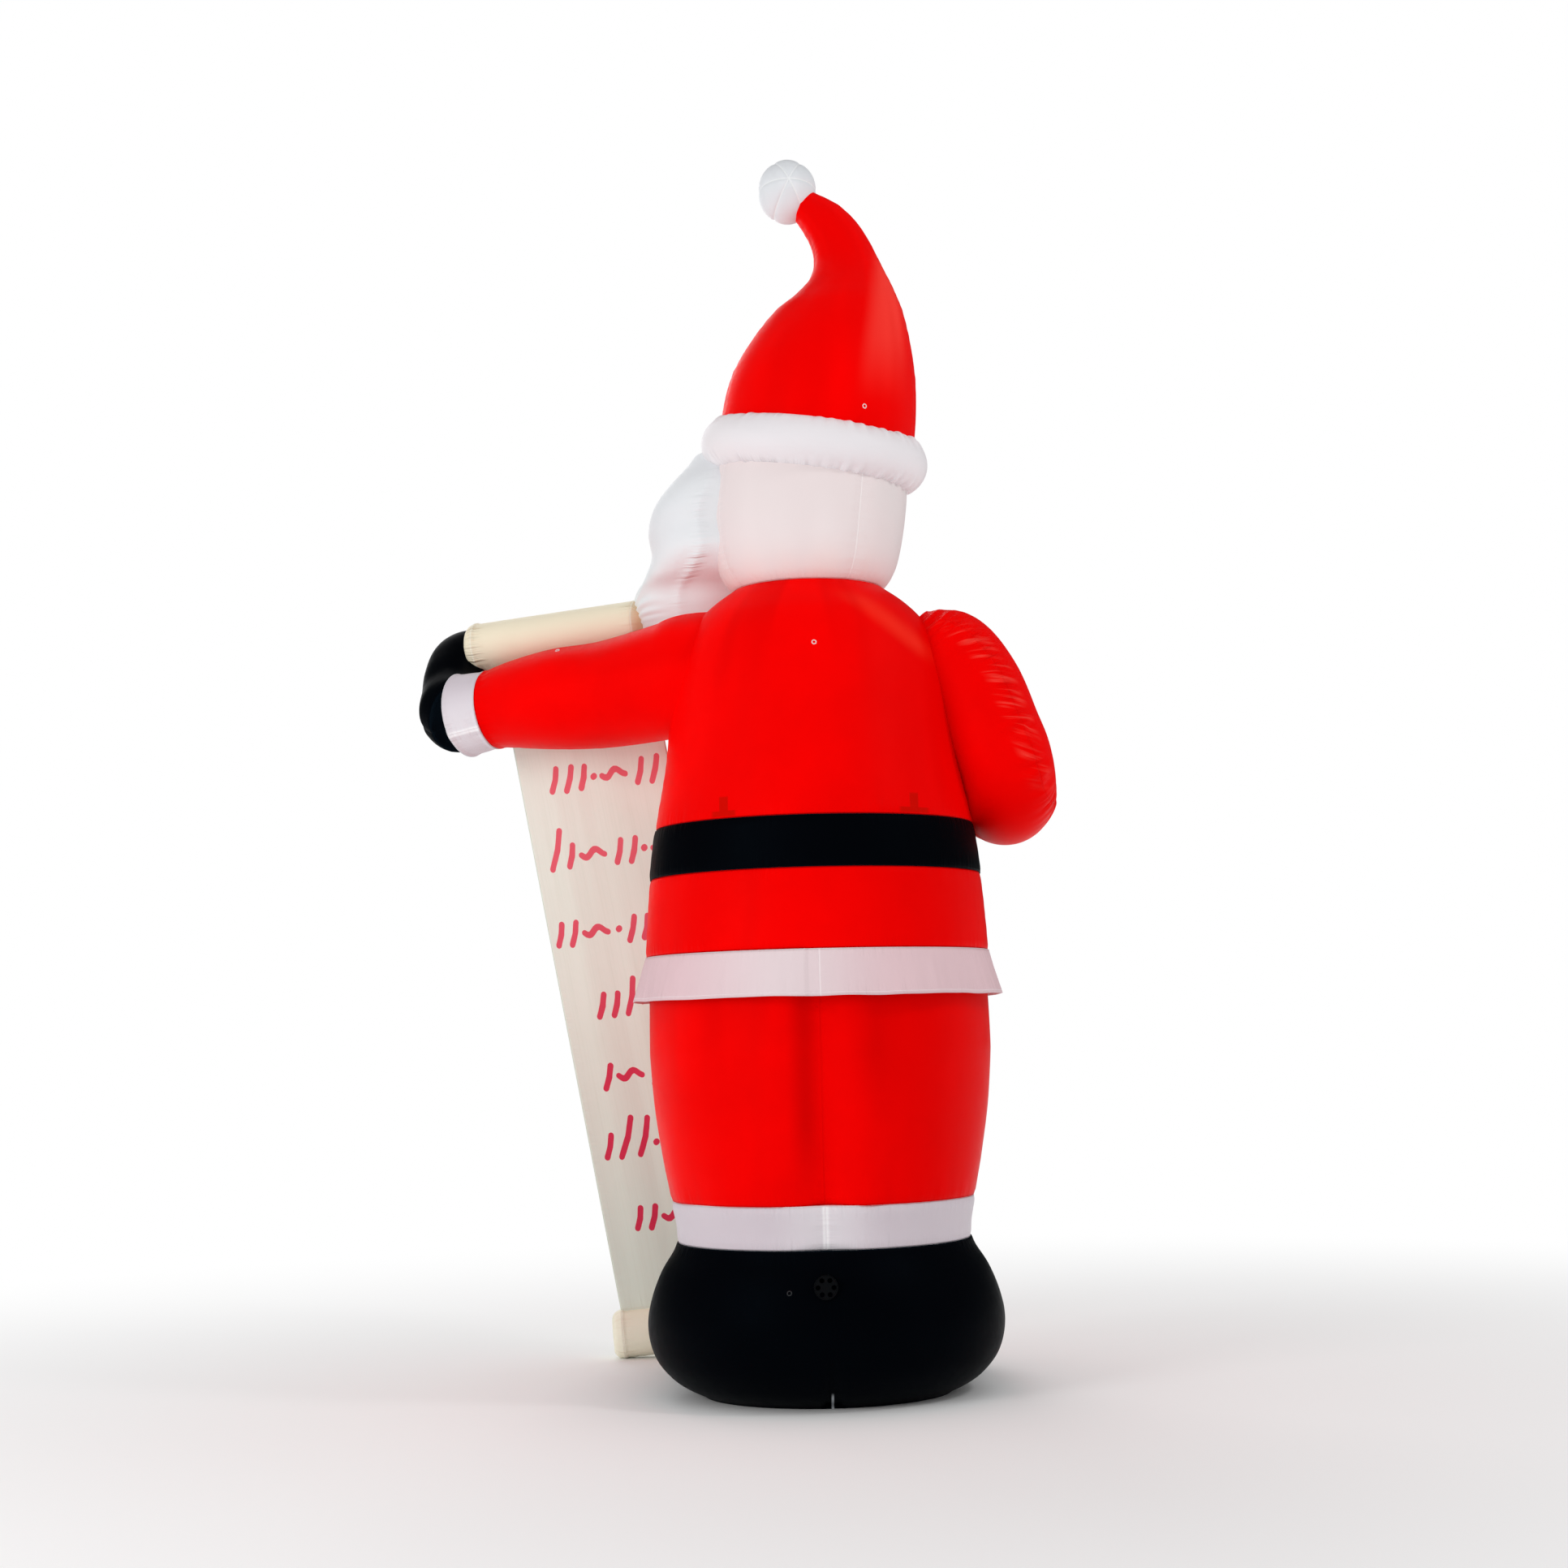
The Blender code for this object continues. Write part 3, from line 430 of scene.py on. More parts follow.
def fade(share, **spans):
    # a share that rises along x, y or z from the first place to the second, and with four places falls again
    def shade(kit, x, y, z):
        shown = share
        for axis, value in (("x", x), ("y", y), ("z", z)):
            span = spans.get(axis, ())
            if span:
                shown = kit.ease(value, *span[:2]) * shown
            if len(span) == 4:
                shown = kit.ease(value, span[3], span[2]) * shown
        return shown

    return shade


def lampShadows(kit, x, y, z):
    # two lamps inside the coat show through as soft dark shapes: a short bar on a longer foot
    shown = []
    for middle, reach in ((-0.463, 0.112), (0.425, 0.088)):
        bar = kit.ease(kit.hump(x, middle, 0.036), 0.25, 0.55) * kit.ease(kit.hump(z, 2.770, 0.060), 0.15, 0.45)
        foot = kit.ease(kit.hump(x, middle, reach), 0.20, 0.45) * kit.ease(kit.hump(z, 2.728, 0.022), 0.2, 0.6)
        shown.append(kit.maths("MAXIMUM", bar, foot))
    return (shown[0] + shown[1]) * fade(0.55, y=(0.1, 0.3))(kit, x, y, z)


def frontBand(kit, x, y, z):
    # the white band that closes the coat in front is only printed
    return kit.ease(kit.hump(x, 0.0, 0.22), *crisp) * kit.ease(y, *printedFront)


def legShade(kit, x, y, z):
    # painted shade: the slack cloth between the legs and on the right leg is painted darker, where it lies in shade
    slack = kit.hump(x, 0.080, 0.095) * kit.ease(z, 0.95, 1.35)
    slack = slack + kit.hump(x, -0.250, 0.16) * kit.ease(z, 1.25, 1.70) * 0.7
    return slack * fade(0.55, y=(0.2, 0.5))(kit, x, y, z)


def hatPanelHighlight(kit, x, y, z):
    # painted highlight: the hat is folded along one side, and the panel past the fold is painted lighter, where it
    # catches the light
    fold = kit.ease(x + (z - 4.95) * 0.15, -0.255, -0.345)
    return fold * fade(0.6, x=(-0.54, -0.46), y=(-0.05, 0.15), z=(4.70, 5.10, 5.50, 5.80))(kit, x, y, z)


def shoulderShine(kit, x, y, z):
    # painted highlight along the cloth stretched over the right shoulder
    slant = kit.hump(x - (z - 3.60) * 1.3, -0.45, 0.12)
    return slant * fade(0.5, y=(0.1, 0.3), z=(3.40, 3.56, 3.74, 3.84))(kit, x, y, z)


def sleeveCreaseHighlights(kit, x, y, z):
    # painted highlights: the short creases across the outer seam are painted lighter, where they catch the light
    side, _, length = kit.split(kit.stored("around", True))
    creases = kit.point(0.0, side * 1.5, (length + side * 0.35) * 25.0)
    lines = kit.patches(creases, 1.0, 3.0, 0.6, 0.49, 0.62)
    return lines * kit.ease(kit.stored("longSeam"), 0.105, 0.035) * fade(0.55, z=(2.80, 3.00, 3.62, 3.70))(kit, x, y, z)


def seamCreaseHighlight(share, start, end):
    # painted highlight: the cloth is lighter towards a long seam, where the crease along it catches the light
    return lambda kit, x, y, z: kit.ease(kit.stored("longSeam"), start, end) * share


def heelSlitLight(kit, x, y, z):
    # painted light: the slit at the heel is painted pale, where light shows through between the boots
    return kit.ease(kit.hump(x, slitX, 0.012), 0.3, 0.8) * fade(1.0, y=(0.3, 0.5), z=(0.085, 0.050))(kit, x, y, z)


def buckle(kit, x, y, z):
    # a printed buckle: one rectangle less a smaller one
    def box(half, low, high):
        across, up = kit.hump(x, 0.0, half * 2), kit.hump(z, (low + high) / 2, high - low)
        return kit.ease(across, *crisp) * kit.ease(up, *crisp)

    return (box(0.19, 2.470, 2.700) - box(0.12, 2.515, 2.655)) * kit.ease(y, *printedFront)


rightShade = fade(0.40, x=(-0.10, -0.55), y=(-0.1, 0.3))      # painted shade on the side away from the lamp
redCloth = fabric("red nylon", *reds, puckers=0.8, seamShow=0.4, bandShade=0.4, **redSheen)
hatCloth = fabric(
    "hat nylon", *reds, puckers=0.6, seamShow=0.3, bandShade=0.5, fold=darkRed, foldShow=0.5,
    tints=(((0.98, 0.070, 0.050), hatPanelHighlight),), **redSheen,
)
bentCloth = fabric(
    "bent sleeve nylon", *reds, puckers=1.6, seamShow=0.10, fold=darkRed, foldShow=0.35,
    tints=(((0.95, 0.075, 0.055), sleeveCreaseHighlights),), **redSheen,
)
legCloth = fabric(
    "trouser nylon", *reds, puckers=0.25, seamShow=0.12, bandShade=0.7,
    tints=(((0.72, 0.0, 0.0), rightShade), ((0.56, 0.0, 0.0), legShade)), **redSheen,
)
coatCloth = fabric(
    "coat nylon", *reds, puckers=0.25, seamShow=0.3, bandShade=0.7,
    tints=(
        ((0.76, 0.0, 0.0), rightShade), ((1.0, 0.040, 0.018), shoulderShine), ((0.42, 0.004, 0.0), lampShadows),
        (printedWhite, frontBand),
    ),
    **redSheen,
)
whiteCloth = fabric(
    "white nylon", (0.83, 0.79, 0.81), (0.80, 0.77, 0.80), (0.92, 0.90, 0.91), rough=0.5, puckers=1.6,
    fold=(0.66, 0.62, 0.65), foldShow=0.65,
)
ballCloth = fabric("pompom nylon", (0.78, 0.80, 0.83), (0.68, 0.70, 0.73), (0.90, 0.91, 0.92), rough=0.5, puckers=0.25)
beardCloth = fabric(
    "beard nylon", (0.80, 0.815, 0.84), (0.76, 0.775, 0.80), (0.93, 0.93, 0.94), rough=0.5,
    tints=(((0.88, 0.97, 0.98), fade(0.75, z=(4.20, 3.90))),),
)
# painted light and shade: the white cloth is tinted pink by red light from the coat below, pinker low down, and painted
# greyer on its right side, away from the lamp
headCloth = fabric(
    "head nylon", (0.85, 0.755, 0.755), (0.81, 0.71, 0.71), (0.95, 0.88, 0.88), rough=0.5, puckers=0.5, bandShade=0.6,
    tints=(((0.86, 0.68, 0.65), fade(0.6, z=(4.12, 3.90))), ((0.74, 0.70, 0.70), fade(0.7, x=(-0.30, -0.42)))),
)
# painted shade: the cuffs and trouser band are a darker, bluer white than the other white cloth, as white cloth looks
# in shade
cuffCloth = fabric(
    "cuff nylon", (0.67, 0.60, 0.65), (0.63, 0.56, 0.62), (0.84, 0.80, 0.84), rough=0.42, puckers=0.5,
    tints=(((0.80, 0.76, 0.80), seamCreaseHighlight(0.75, 0.300, 0.0)), ((0.96, 0.94, 0.96), seamCreaseHighlight(0.9, 0.020, 0.006))),
)
# painted light: the white hem is tinted pink by red light from the coat, and less so left of the middle
hemCloth = fabric(
    "hem nylon", (0.79, 0.565, 0.60), (0.74, 0.53, 0.56), (0.92, 0.80, 0.82), rough=0.5, puckers=0.4,
    tints=(((0.80, 0.69, 0.71), lambda kit, x, y, z: kit.hump(x, 0.15, 0.55) * 0.8),),
)
blackCloth = fabric("black nylon", *blacks, tints=(((0.62, 0.66, 0.70), heelSlitLight),), **blackSheen)
beltCloth = fabric("belt nylon", *blacks, tints=(((0.80, 0.48, 0.06), buckle),), **blackSheen)
creamCloth = fabric(
    "cream nylon", (0.95, 0.86, 0.66), (0.90, 0.80, 0.60), (0.96, 0.90, 0.76), rough=0.5, puckers=1.4,
    fold=(0.80, 0.64, 0.42), foldShow=0.6,
    tints=(
        # painted light: red light from the sleeve turns the end of the top roll peach
        ((0.84, 0.50, 0.27), fade(0.8, x=(0.93, 0.86), z=(3.0, 3.2))),
        # painted light: the low roll is painted lighter, out of the shade it lies in
        ((1.0, 0.97, 0.80), fade(0.8, z=(1.0, 0.5))),
    ),
)

faceMarks = {
    "turn": radians(35),
    # distance to the side, height, half width, half height
    "cheek": (0.255, 4.290, 0.095, 0.080), "eye": (0.130, 4.415, 0.052, 0.036), "pupil": (0.126, 4.411, 0.025, 0.028),
    "brow": (0.130, 4.482, 0.085, 0.019),
    "lid": (4.437, 4.433), "browBend": 5.0, "browSlope": 0.22,
}


def faceSpot(mark, soft, share=1.0, lidded=False):
    # an ellipse on either half of the face, fading over the soft share of it
    def shade(kit, x, y, z):
        side = kit.maths("ABSOLUTE", x * cos(faceMarks["turn"]) + y * sin(faceMarks["turn"]))
        middle, height, halfWidth, halfHeight = faceMarks[mark]
        off, up = side - middle, z
        if mark == "brow":
            up = z + off * off * faceMarks["browBend"] + off * faceMarks["browSlope"]
        across, up = off / halfWidth, (up - height) / halfHeight
        shown = kit.ease(kit.maths("SQRT", across * across + up * up), 1 + soft / 2, 1 - soft / 2) * share
        return shown * kit.ease(z, *faceMarks["lid"]) if lidded else shown

    return shade


skinCloth = fabric(
    "skin nylon", (0.86, 0.54, 0.40), (0.82, 0.49, 0.36), (0.70, 0.36, 0.26), rough=0.5,
    tints=(
        ((0.84, 0.30, 0.25), faceSpot("cheek", 1.2, 0.55)),
        ((0.86, 0.85, 0.84), faceSpot("eye", 0.10, lidded=True)),
        ((0.035, 0.020, 0.015), faceSpot("pupil", 0.12, lidded=True)),
        ((0.84, 0.83, 0.83), faceSpot("brow", 0.15)),
    ),
)
noseCloth = fabric("nose nylon", (0.80, 0.28, 0.22), (0.74, 0.23, 0.18), (0.60, 0.16, 0.12), rough=0.45)
print("finishes ready")

body = {
    # height, half width, half depth behind, half depth in front
    "outline": (
        (0.000, 0.575, 0.530, 0.560), (0.030, 0.655, 0.600, 0.620), (0.085, 0.742, 0.680, 0.700),
        (0.187, 0.824, 0.765, 0.780), (0.330, 0.857, 0.810, 0.820), (0.460, 0.836, 0.800, 0.800),
        (0.590, 0.785, 0.760, 0.750), (0.722, 0.710, 0.700, 0.690), (0.920, 0.733, 0.710, 0.710),
        (1.110, 0.768, 0.735, 0.740), (1.400, 0.809, 0.770, 0.780), (1.872, 0.838, 0.800, 0.820),
        (2.087, 0.835, 0.805, 0.850), (2.463, 0.808, 0.790, 0.885), (2.706, 0.778, 0.760, 0.870),
        (3.007, 0.723, 0.700, 0.790), (3.200, 0.702, 0.655, 0.720), (3.420, 0.688, 0.605, 0.640),
        (3.600, 0.640, 0.555, 0.580), (3.720, 0.565, 0.500, 0.520), (3.810, 0.475, 0.430, 0.445),
        (3.880, 0.375, 0.370, 0.375),
    ),
    "bootTop": 0.722, "cuffTop": 0.920, "hemBottom": 1.872, "coatBottom": 2.087,
    "beltBottom": 2.463, "beltTop": 2.706, "collar": 3.880,
    "seamGap": 0.0003,
}


def columnPoint(angle, height, grow=0.0, pinch=0.0, pinchTurn=0.16):
    width, back, front = byHeight(body["outline"], height)
    depth = back if cos(angle) > 0 else front
    off = min(turnGap(angle, 0.0), turnGap(angle, pi))
    inward = pinch * exp(-((off / pinchTurn) ** 2))
    return Vector(((width + grow) * sin(angle), (depth + grow - inward) * cos(angle), height))


def columnBand(name, low, high, finish, slot, node, spec):
    grow, pinch = spec.get("grow"), spec.get("pinch")
    top = high - body["seamGap"]

    def place(angle, share):
        swell = grow(angle, share) if grow else 0.0
        return columnPoint(angle, low + (top - low) * share, swell, pinch(share) if pinch else 0.0)

    return sewnPiece(name, place, spec, finish, slot, node)


def trouserGrow(angle, share):
    tuck = 0.026 * max(0.0, (share - 0.6) / 0.4)
    soft = noise.noise(Vector((sin(angle) * 2.6, cos(angle) * 2.6, share * 1.7)))
    ridge = 0.012 * exp(-((turnGap(angle, -0.24) / 0.10) ** 2)) * (1 - share * 0.5)
    return -tuck + 0.008 * soft + ridge


cuffBand = {
    "segments": 240, "rows": 18, "pinch": lambda share: 0.030, "seams": (0.0, pi),
    "sewing": {"tuck": 0.008, "crease": 0.010},
}
trouserBand = {
    "segments": 256, "rows": 92, "grow": trouserGrow, "pinch": lambda share: 0.085 * (1 - 0.75 * share),
    "seams": (0.0, pi), "sewing": {"tuck": 0.006, "crease": 0.006, "creaseReach": 0.06, "pucker": 0.005},
}
sideSeams = (1.45, -1.45)
skirtBand = {"segments": 240, "rows": 32, "seams": sideSeams, "sewing": {"tuck": 0.004, "pucker": 0.004}}
beltBand = {
    "segments": 240, "rows": 22, "grow": lambda angle, share: 0.004, "seams": sideSeams,
    "sewing": {"tuck": 0.004, "pucker": 0.003},
}
coatBand = {
    "segments": 256, "rows": 110, "ringSeams": (0.0,), "seams": sideSeams, "sewing": {"tuck": 0.004, "pucker": 0.006},
}
for name, low, high, finish, slot, node, spec in (
    ("trouser_band", "bootTop", "cuffTop", cuffCloth, "white_fabric", "trouser_cuffs", cuffBand),
    ("trouser_legs", "cuffTop", "coatBottom", legCloth, "red_fabric", "trousers", trouserBand),
    ("coat_tails", "coatBottom", "beltBottom", coatCloth, "red_fabric", "coat_skirt", skirtBand),
    ("belt_band", "beltBottom", "beltTop", beltCloth, "black_fabric", "belt", beltBand),
    ("coat_back", "beltTop", "collar", coatCloth, "red_fabric", "coat", coatBand),
):
    columnBand(name, body[low], body[high], finish, slot, node, spec)
print("column sewn")

boots = {
    "leftToe": (0.370, -0.500, 0.270), "rightToe": (-0.381, -0.487, 0.273), "toeRadii": (0.44, 0.66, 0.38),
    "segments": 128, "rows": 40, "below": 0.06, "above": 0.02, "endShrink": 0.9, "voxel": 0.016, "rounds": 8,
    "grooveDepth": 0.05, "grooveReach": 0.035, "grooveTop": 0.30, "creaseDepth": 0.004, "creaseReach": 0.02,
}


def ballOf(shape, centre, radii):
    made = bmesh.ops.create_uvsphere(shape, u_segments=64, v_segments=40, radius=1.0)
    bmesh.ops.scale(shape, vec=Vector(radii), verts=made["verts"])
    bmesh.ops.translate(shape, vec=Vector(centre), verts=made["verts"])


def oneSkin(shape, voxel, rounds):
    # melts overlapping closed shapes into one skin, then relaxes it
    mesh = meshOf("raw", shape)
    raw = objectOf("raw", mesh)
    melt = raw.modifiers.new("melt", "REMESH")
    melt.mode = "VOXEL"
    melt.voxel_size = voxel
    done = bpy.data.meshes.new_from_object(raw.evaluated_get(bpy.context.evaluated_depsgraph_get()))
    bpy.data.objects.remove(raw, do_unlink=True)
    bpy.data.meshes.remove(mesh)
    shape = bmesh.new()
    shape.from_mesh(done)
    bpy.data.meshes.remove(done)
    for _ in range(rounds):
        bmesh.ops.smooth_vert(shape, verts=shape.verts, factor=0.5, use_axis_x=True, use_axis_y=True, use_axis_z=True)
    return shape


def placeFacts(shape, ringSeam=lambda at: farAway, longSeam=lambda at: farAway):
    # seam distances worked out from where each vertex is
    aroundLayer, ringLayer, longLayer = clothLayers(shape)
    facts = {}
    for vert in shape.verts:
        vert[aroundLayer] = vert.co
        vert[ringLayer] = ringSeam(vert.co)
        vert[longLayer] = longSeam(vert.co)
        facts[vert] = (*vert.co, vert[ringLayer], vert[longLayer])
    return facts


def makeBoots():
    spec = boots
    top = body["bootTop"] - body["seamGap"]
    tall = body["bootTop"] + spec["above"] + spec["below"]

    def place(angle, share):
        # the first row lies below the ground, because the skin is cut level there afterwards
        spot = columnPoint(angle, max(0.0, tall * share - spec["below"]))
        return spot if share else spot - Vector((0, 0, spec["below"]))

    def heelSeam(at):
        return abs(at.x - slitX) if at.y > 0.1 or at.z > 0.3 else farAway

    shape, rings = sleeveOf(place, spec["segments"], spec["rows"])
    closeEnds(shape, spec["endShrink"])
    ballOf(shape, spec["leftToe"], spec["toeRadii"])
    ballOf(shape, spec["rightToe"], spec["toeRadii"])
    shape = oneSkin(shape, spec["voxel"], spec["rounds"])
    for height, keepAbove in ((0.0, True), (top, False)):
        everything = list(shape.verts) + list(shape.edges) + list(shape.faces)
        bmesh.ops.bisect_plane(
            shape, geom=everything, plane_co=(0, 0, height), plane_no=(0, 0, 1), clear_inner=keepAbove,
            clear_outer=not keepAbove,
        )
        bmesh.ops.holes_fill(shape, edges=[edge for edge in shape.edges if edge.is_boundary], sides=0)
    placeFacts(shape, lambda at: abs(top - at.z), heelSeam)
    shape.normal_update()
    for vert in shape.verts:
        # a groove up the heel
        off = vert.co.x - slitX
        groove = exp(-((off / spec["grooveReach"]) ** 2)) * max(0.0, 1 - vert.co.z / spec["grooveTop"])
        if vert.co.y > 0.2 and 0.002 < vert.co.z < top - 0.002:
            vert.co.y -= spec["grooveDepth"] * groove
            vert.co += vert.normal * (-spec["creaseDepth"] * exp(-((off / spec["creaseReach"]) ** 2)))
    return piece("boot_pair", shape, blackCloth, "black_fabric", "boots")


makeBoots()
print("boots sewn")

hem = {
    "segments": 480, "rows": 14, "flare": 0.052, "wave": 0.010, "waves": 9, "thickness": 0.003, "fold": 0.016,
    "lap": 0.010, "lapAngle": 0.068, "lapFade": 0.9, "drop": 0.006,
}


def hemPoint(angle, share):
    # share runs from the sewn edge down to the loose one
    width, back, front = byHeight(body["outline"], body["coatBottom"])
    depth = back if cos(angle) > 0 else front
    ripple = noise.noise(Vector((sin(angle) * 4.5, cos(angle) * 4.5, 1.7)))
    crimp = 0.35 * noise.noise(Vector((sin(angle) * 19, cos(angle) * 19, 4.1)))
    past = angle - hem["lapAngle"]
    lap = hem["lap"] * max(0.0, 1 - past / hem["lapFade"]) if past > 0 else 0.0
    wave = hem["flare"] + hem["wave"] * sin(hem["waves"] * angle) + hem["fold"] * (ripple + crimp)
    out = lap + share * wave
    top = body["coatBottom"] - body["seamGap"]
    height = top + (body["hemBottom"] - top) * share + hem["drop"] * share * ripple
    return Vector(((width + out) * sin(angle), (depth + out) * cos(angle), height))


def thicken(obj, thickness):
    wall = obj.modifiers.new("cloth", "SOLIDIFY")
    wall.thickness = thickness
    wall.offset = 0.0


def makeHem():
    shape, rings = sleeveOf(hemPoint, hem["segments"], hem["rows"])
    addFacts(shape, rings, (0.0, 0.94), (0.0,))
    obj = piece("hem_band", shape, hemCloth, "white_fabric", "coat_hem")
    thicken(obj, hem["thickness"])


makeHem()


def alongPath(stations, towards):
    # place(angle, share) on a tube along the stations (x, y, z, radius); angle 0 faces the towards direction
    reference = Vector(towards)

    def place(angle, share):
        here = smoothRows(stations, share)
        ahead = smoothRows(stations, min(share + 0.01, 1.0)) - smoothRows(stations, max(share - 0.01, 0.0))
        way = ahead.to_3d().normalized()
        first = (reference - way * reference.dot(way)).normalized()
        second = way.cross(first)
        return here.to_3d() + (first * cos(angle) + second * sin(angle)) * here[3]

    return place


def tubePiece(name, stations, towards, spec, finish, slot, node):
    return sewnPiece(name, alongPath(stations, towards), spec, finish, slot, node)


leftArm = {
    "sleeve": (
        (0.300, 0.020, 3.500, 0.280), (0.554, 0.000, 3.490, 0.293), (0.700, -0.040, 3.460, 0.283),
        (1.011, -0.190, 3.424, 0.264), (1.266, -0.290, 3.420, 0.252), (1.483, -0.390, 3.412, 0.222),
        (1.625, -0.445, 3.396, 0.192),
    ),
    "cuff": ((1.6265, -0.4456, 3.3958, 0.196), (1.690, -0.471, 3.389, 0.205), (1.775, -0.512, 3.380, 0.211)),
    "mitten": (
        (1.7765, -0.5135, 3.3808, 0.203), (1.818, -0.570, 3.412, 0.205), (1.838, -0.670, 3.500, 0.185),
        (1.845, -0.770, 3.605, 0.180), (1.830, -0.870, 3.705, 0.168), (1.750, -0.940, 3.765, 0.138),
        (1.650, -0.960, 3.775, 0.060),
    ),
    "thumb": (
        (1.820, -0.600, 3.440, 0.090), (1.790, -0.740, 3.475, 0.085), (1.730, -0.860, 3.510, 0.070),
        (1.680, -0.910, 3.540, 0.035),
    ),
}
rightArm = {
    "sleeve": (
        (-0.520, 0.040, 3.690, 0.100), (-0.590, 0.045, 3.625, 0.186), (-0.690, 0.060, 3.525, 0.240),
        (-0.800, 0.085, 3.362, 0.243), (-0.885, 0.110, 3.150, 0.236), (-0.930, 0.105, 3.030, 0.235),
        (-0.957, 0.035, 2.905, 0.235), (-0.963, -0.120, 2.842, 0.230), (-0.925, -0.350, 2.865, 0.215),
        (-0.835, -0.570, 2.930, 0.200), (-0.720, -0.740, 3.000, 0.186),
    ),
    "cuff": ((-0.7189, -0.7412, 3.0006, 0.190), (-0.670, -0.800, 3.028, 0.200), (-0.600, -0.860, 3.064, 0.206)),
    "mitten": (
        (-0.5988, -0.8609, 3.0645, 0.198), (-0.545, -0.900, 3.090, 0.200), (-0.450, -0.940, 3.130, 0.180),
        (-0.340, -0.950, 3.170, 0.160), (-0.230, -0.940, 3.200, 0.135), (-0.150, -0.920, 3.220, 0.070),
    ),
    "thumb": (
        (-0.500, -0.920, 3.150, 0.095), (-0.460, -0.940, 3.270, 0.085), (-0.410, -0.940, 3.370, 0.070),
        (-0.380, -0.930, 3.430, 0.035),
    ),
}
sleeveSpec = {
    "segments": 160, "rows": 110, "seams": (0.0, pi), "ringSeams": (1.0,),
    "sewing": {"tuck": 0.008, "pucker": 0.005, "crease": 0.005},
}
bentSleeveSpec = dict(
    sleeveSpec, rows=340,
    sewing={"tuck": 0.006, "pucker": 0.046, "ringPucker": 0.010, "crease": 0.002, "reach": 0.10, "pitch": 0.040},
)
cuffSpec = {"segments": 144, "rows": 18, "seams": (0.0,), "sewing": {"tuck": 0.008, "pucker": 0.004}}
mittenSpec = {
    # segments and rows of the two parts
    "parts": (("mitten", 72, 48), ("thumb", 40, 28)),
    "up": (0.0, 0.3, 1.0), "endShrink": 0.5, "voxel": 0.010, "rounds": 5,
    "sewing": {"tuck": 0.0, "crease": 0.005, "creaseReach": 0.02, "pucker": 0.004, "reach": 0.05},
}


def mittenPiece(name, arm, node):
    # palm and thumb melted into one skin
    spec = mittenSpec
    shape = bmesh.new()
    for part, segments, rows in spec["parts"]:
        one, rings = sleeveOf(alongPath(arm[part], spec["up"]), segments, rows)
        closeEnds(one, spec["endShrink"])
        mesh = meshOf("part", one)
        shape.from_mesh(mesh)
        bpy.data.meshes.remove(mesh)
    shape = oneSkin(shape, spec["voxel"], spec["rounds"])
    wrist, palm, tip = (Vector(arm["mitten"][i][:3]) for i in (0, 1, -1))
    way = (palm - wrist).normalized()
    side = way.cross(tip - wrist).normalized()
    facts = placeFacts(shape, lambda at: abs((at - wrist).dot(way)), lambda at: abs((at - wrist).dot(side)))
    sewn(shape, facts, **spec["sewing"])
    return piece(name, shape, blackCloth, "black_fabric", node)


tubePiece("left_arm", leftArm["sleeve"], (0.0, 0.25, 1.0), sleeveSpec, redCloth, "red_fabric", "left_sleeve")
tubePiece("left_band", leftArm["cuff"], (0.0, 1.0, -0.6), cuffSpec, cuffCloth, "white_fabric", "left_cuff")
mittenPiece("left_hand", leftArm, "left_mitten")
tubePiece("right_arm", rightArm["sleeve"], (-0.55, 1.0, 0.2), bentSleeveSpec, bentCloth, "red_fabric", "right_sleeve")
tubePiece("right_band", rightArm["cuff"], (0.0, 1.0, 0.0), cuffSpec, cuffCloth, "white_fabric", "right_cuff")
mittenPiece("right_hand", rightArm, "right_mitten")
print("arms sewn")

head = {
    "turn": radians(35), "brimCentre": Vector((-0.050, 0.0, 4.570)), "slope": Vector((-0.150, 0.100, 1.0)).normalized(),
    "seamLift": 0.020,
    # height above the collar, radius
    "outline": (
        (0.000, 0.368), (0.055, 0.412), (0.140, 0.450), (0.280, 0.477), (0.430, 0.486), (0.560, 0.480), (0.690, 0.462),
    ),
    "upright": 0.140,
    "segments": 240, "rows": 70, "ringSeams": (0.0,), "seams": (-0.55, 1.12, 2.5, -2.0),
    "sewing": {"tuck": 0.004, "crease": 0.005, "pucker": 0.006},
}
hatSeam = head["brimCentre"] + head["slope"] * head["seamLift"]


def ringWay(normal, angle):
    # the way out from the middle of a tilted ring; angle 0 faces +Y
    across = Vector((0, 1, 0)).cross(normal).normalized()
    return sin(angle) * across + cos(angle) * normal.cross(across)


def headPoint(angle, share):
    top = head["outline"][-1][0]
    above = top * share
    radius = byHeight(head["outline"], above)[0]
    lean = max(0.0, (above - head["upright"]) / (top - head["upright"])) ** 2
    normal = Vector((0, 0, 1)).lerp(head["slope"], lean).normalized()
    centre = Vector((head["brimCentre"].x * lean, 0, body["collar"] + above))
    return centre + radius * ringWay(normal, angle)


def headAxes(forward, left, height):
    turn = head["turn"]
    return Vector((forward * sin(turn) + left * cos(turn), -forward * cos(turn) + left * sin(turn), height))


brimSpread = radians(72) / (2 * pi)      # how far round the ring each seam is from its outer side
brim = {
    "radius": 0.433, "thickness": 0.134, "lumps": 0.035, "lumpScale": 2.2, "segments": 480, "rows": 72,
    "ringSeams": (0.5 - brimSpread, 0.5 + brimSpread), "seams": (2.3, -2.3), "merge": 0.0004,
    "sewing": {
        "tuck": 0.004, "tuckReach": 0.02, "crease": 0.003, "pucker": 0.032, "reach": 0.070, "pitch": 0.034, "seed": 2.0,
    },
}


def brimPoint(angle, share):
    turn = 2 * pi * share - pi      # 0 on the outside of the ring
    slope = head["slope"]
    out = ringWay(slope, angle)
    thick = brim["thickness"] * (1 + brim["lumps"] * noise.noise(out * brim["lumpScale"]))
    return head["brimCentre"] + out * (brim["radius"] + thick * cos(turn)) + slope * thick * sin(turn)


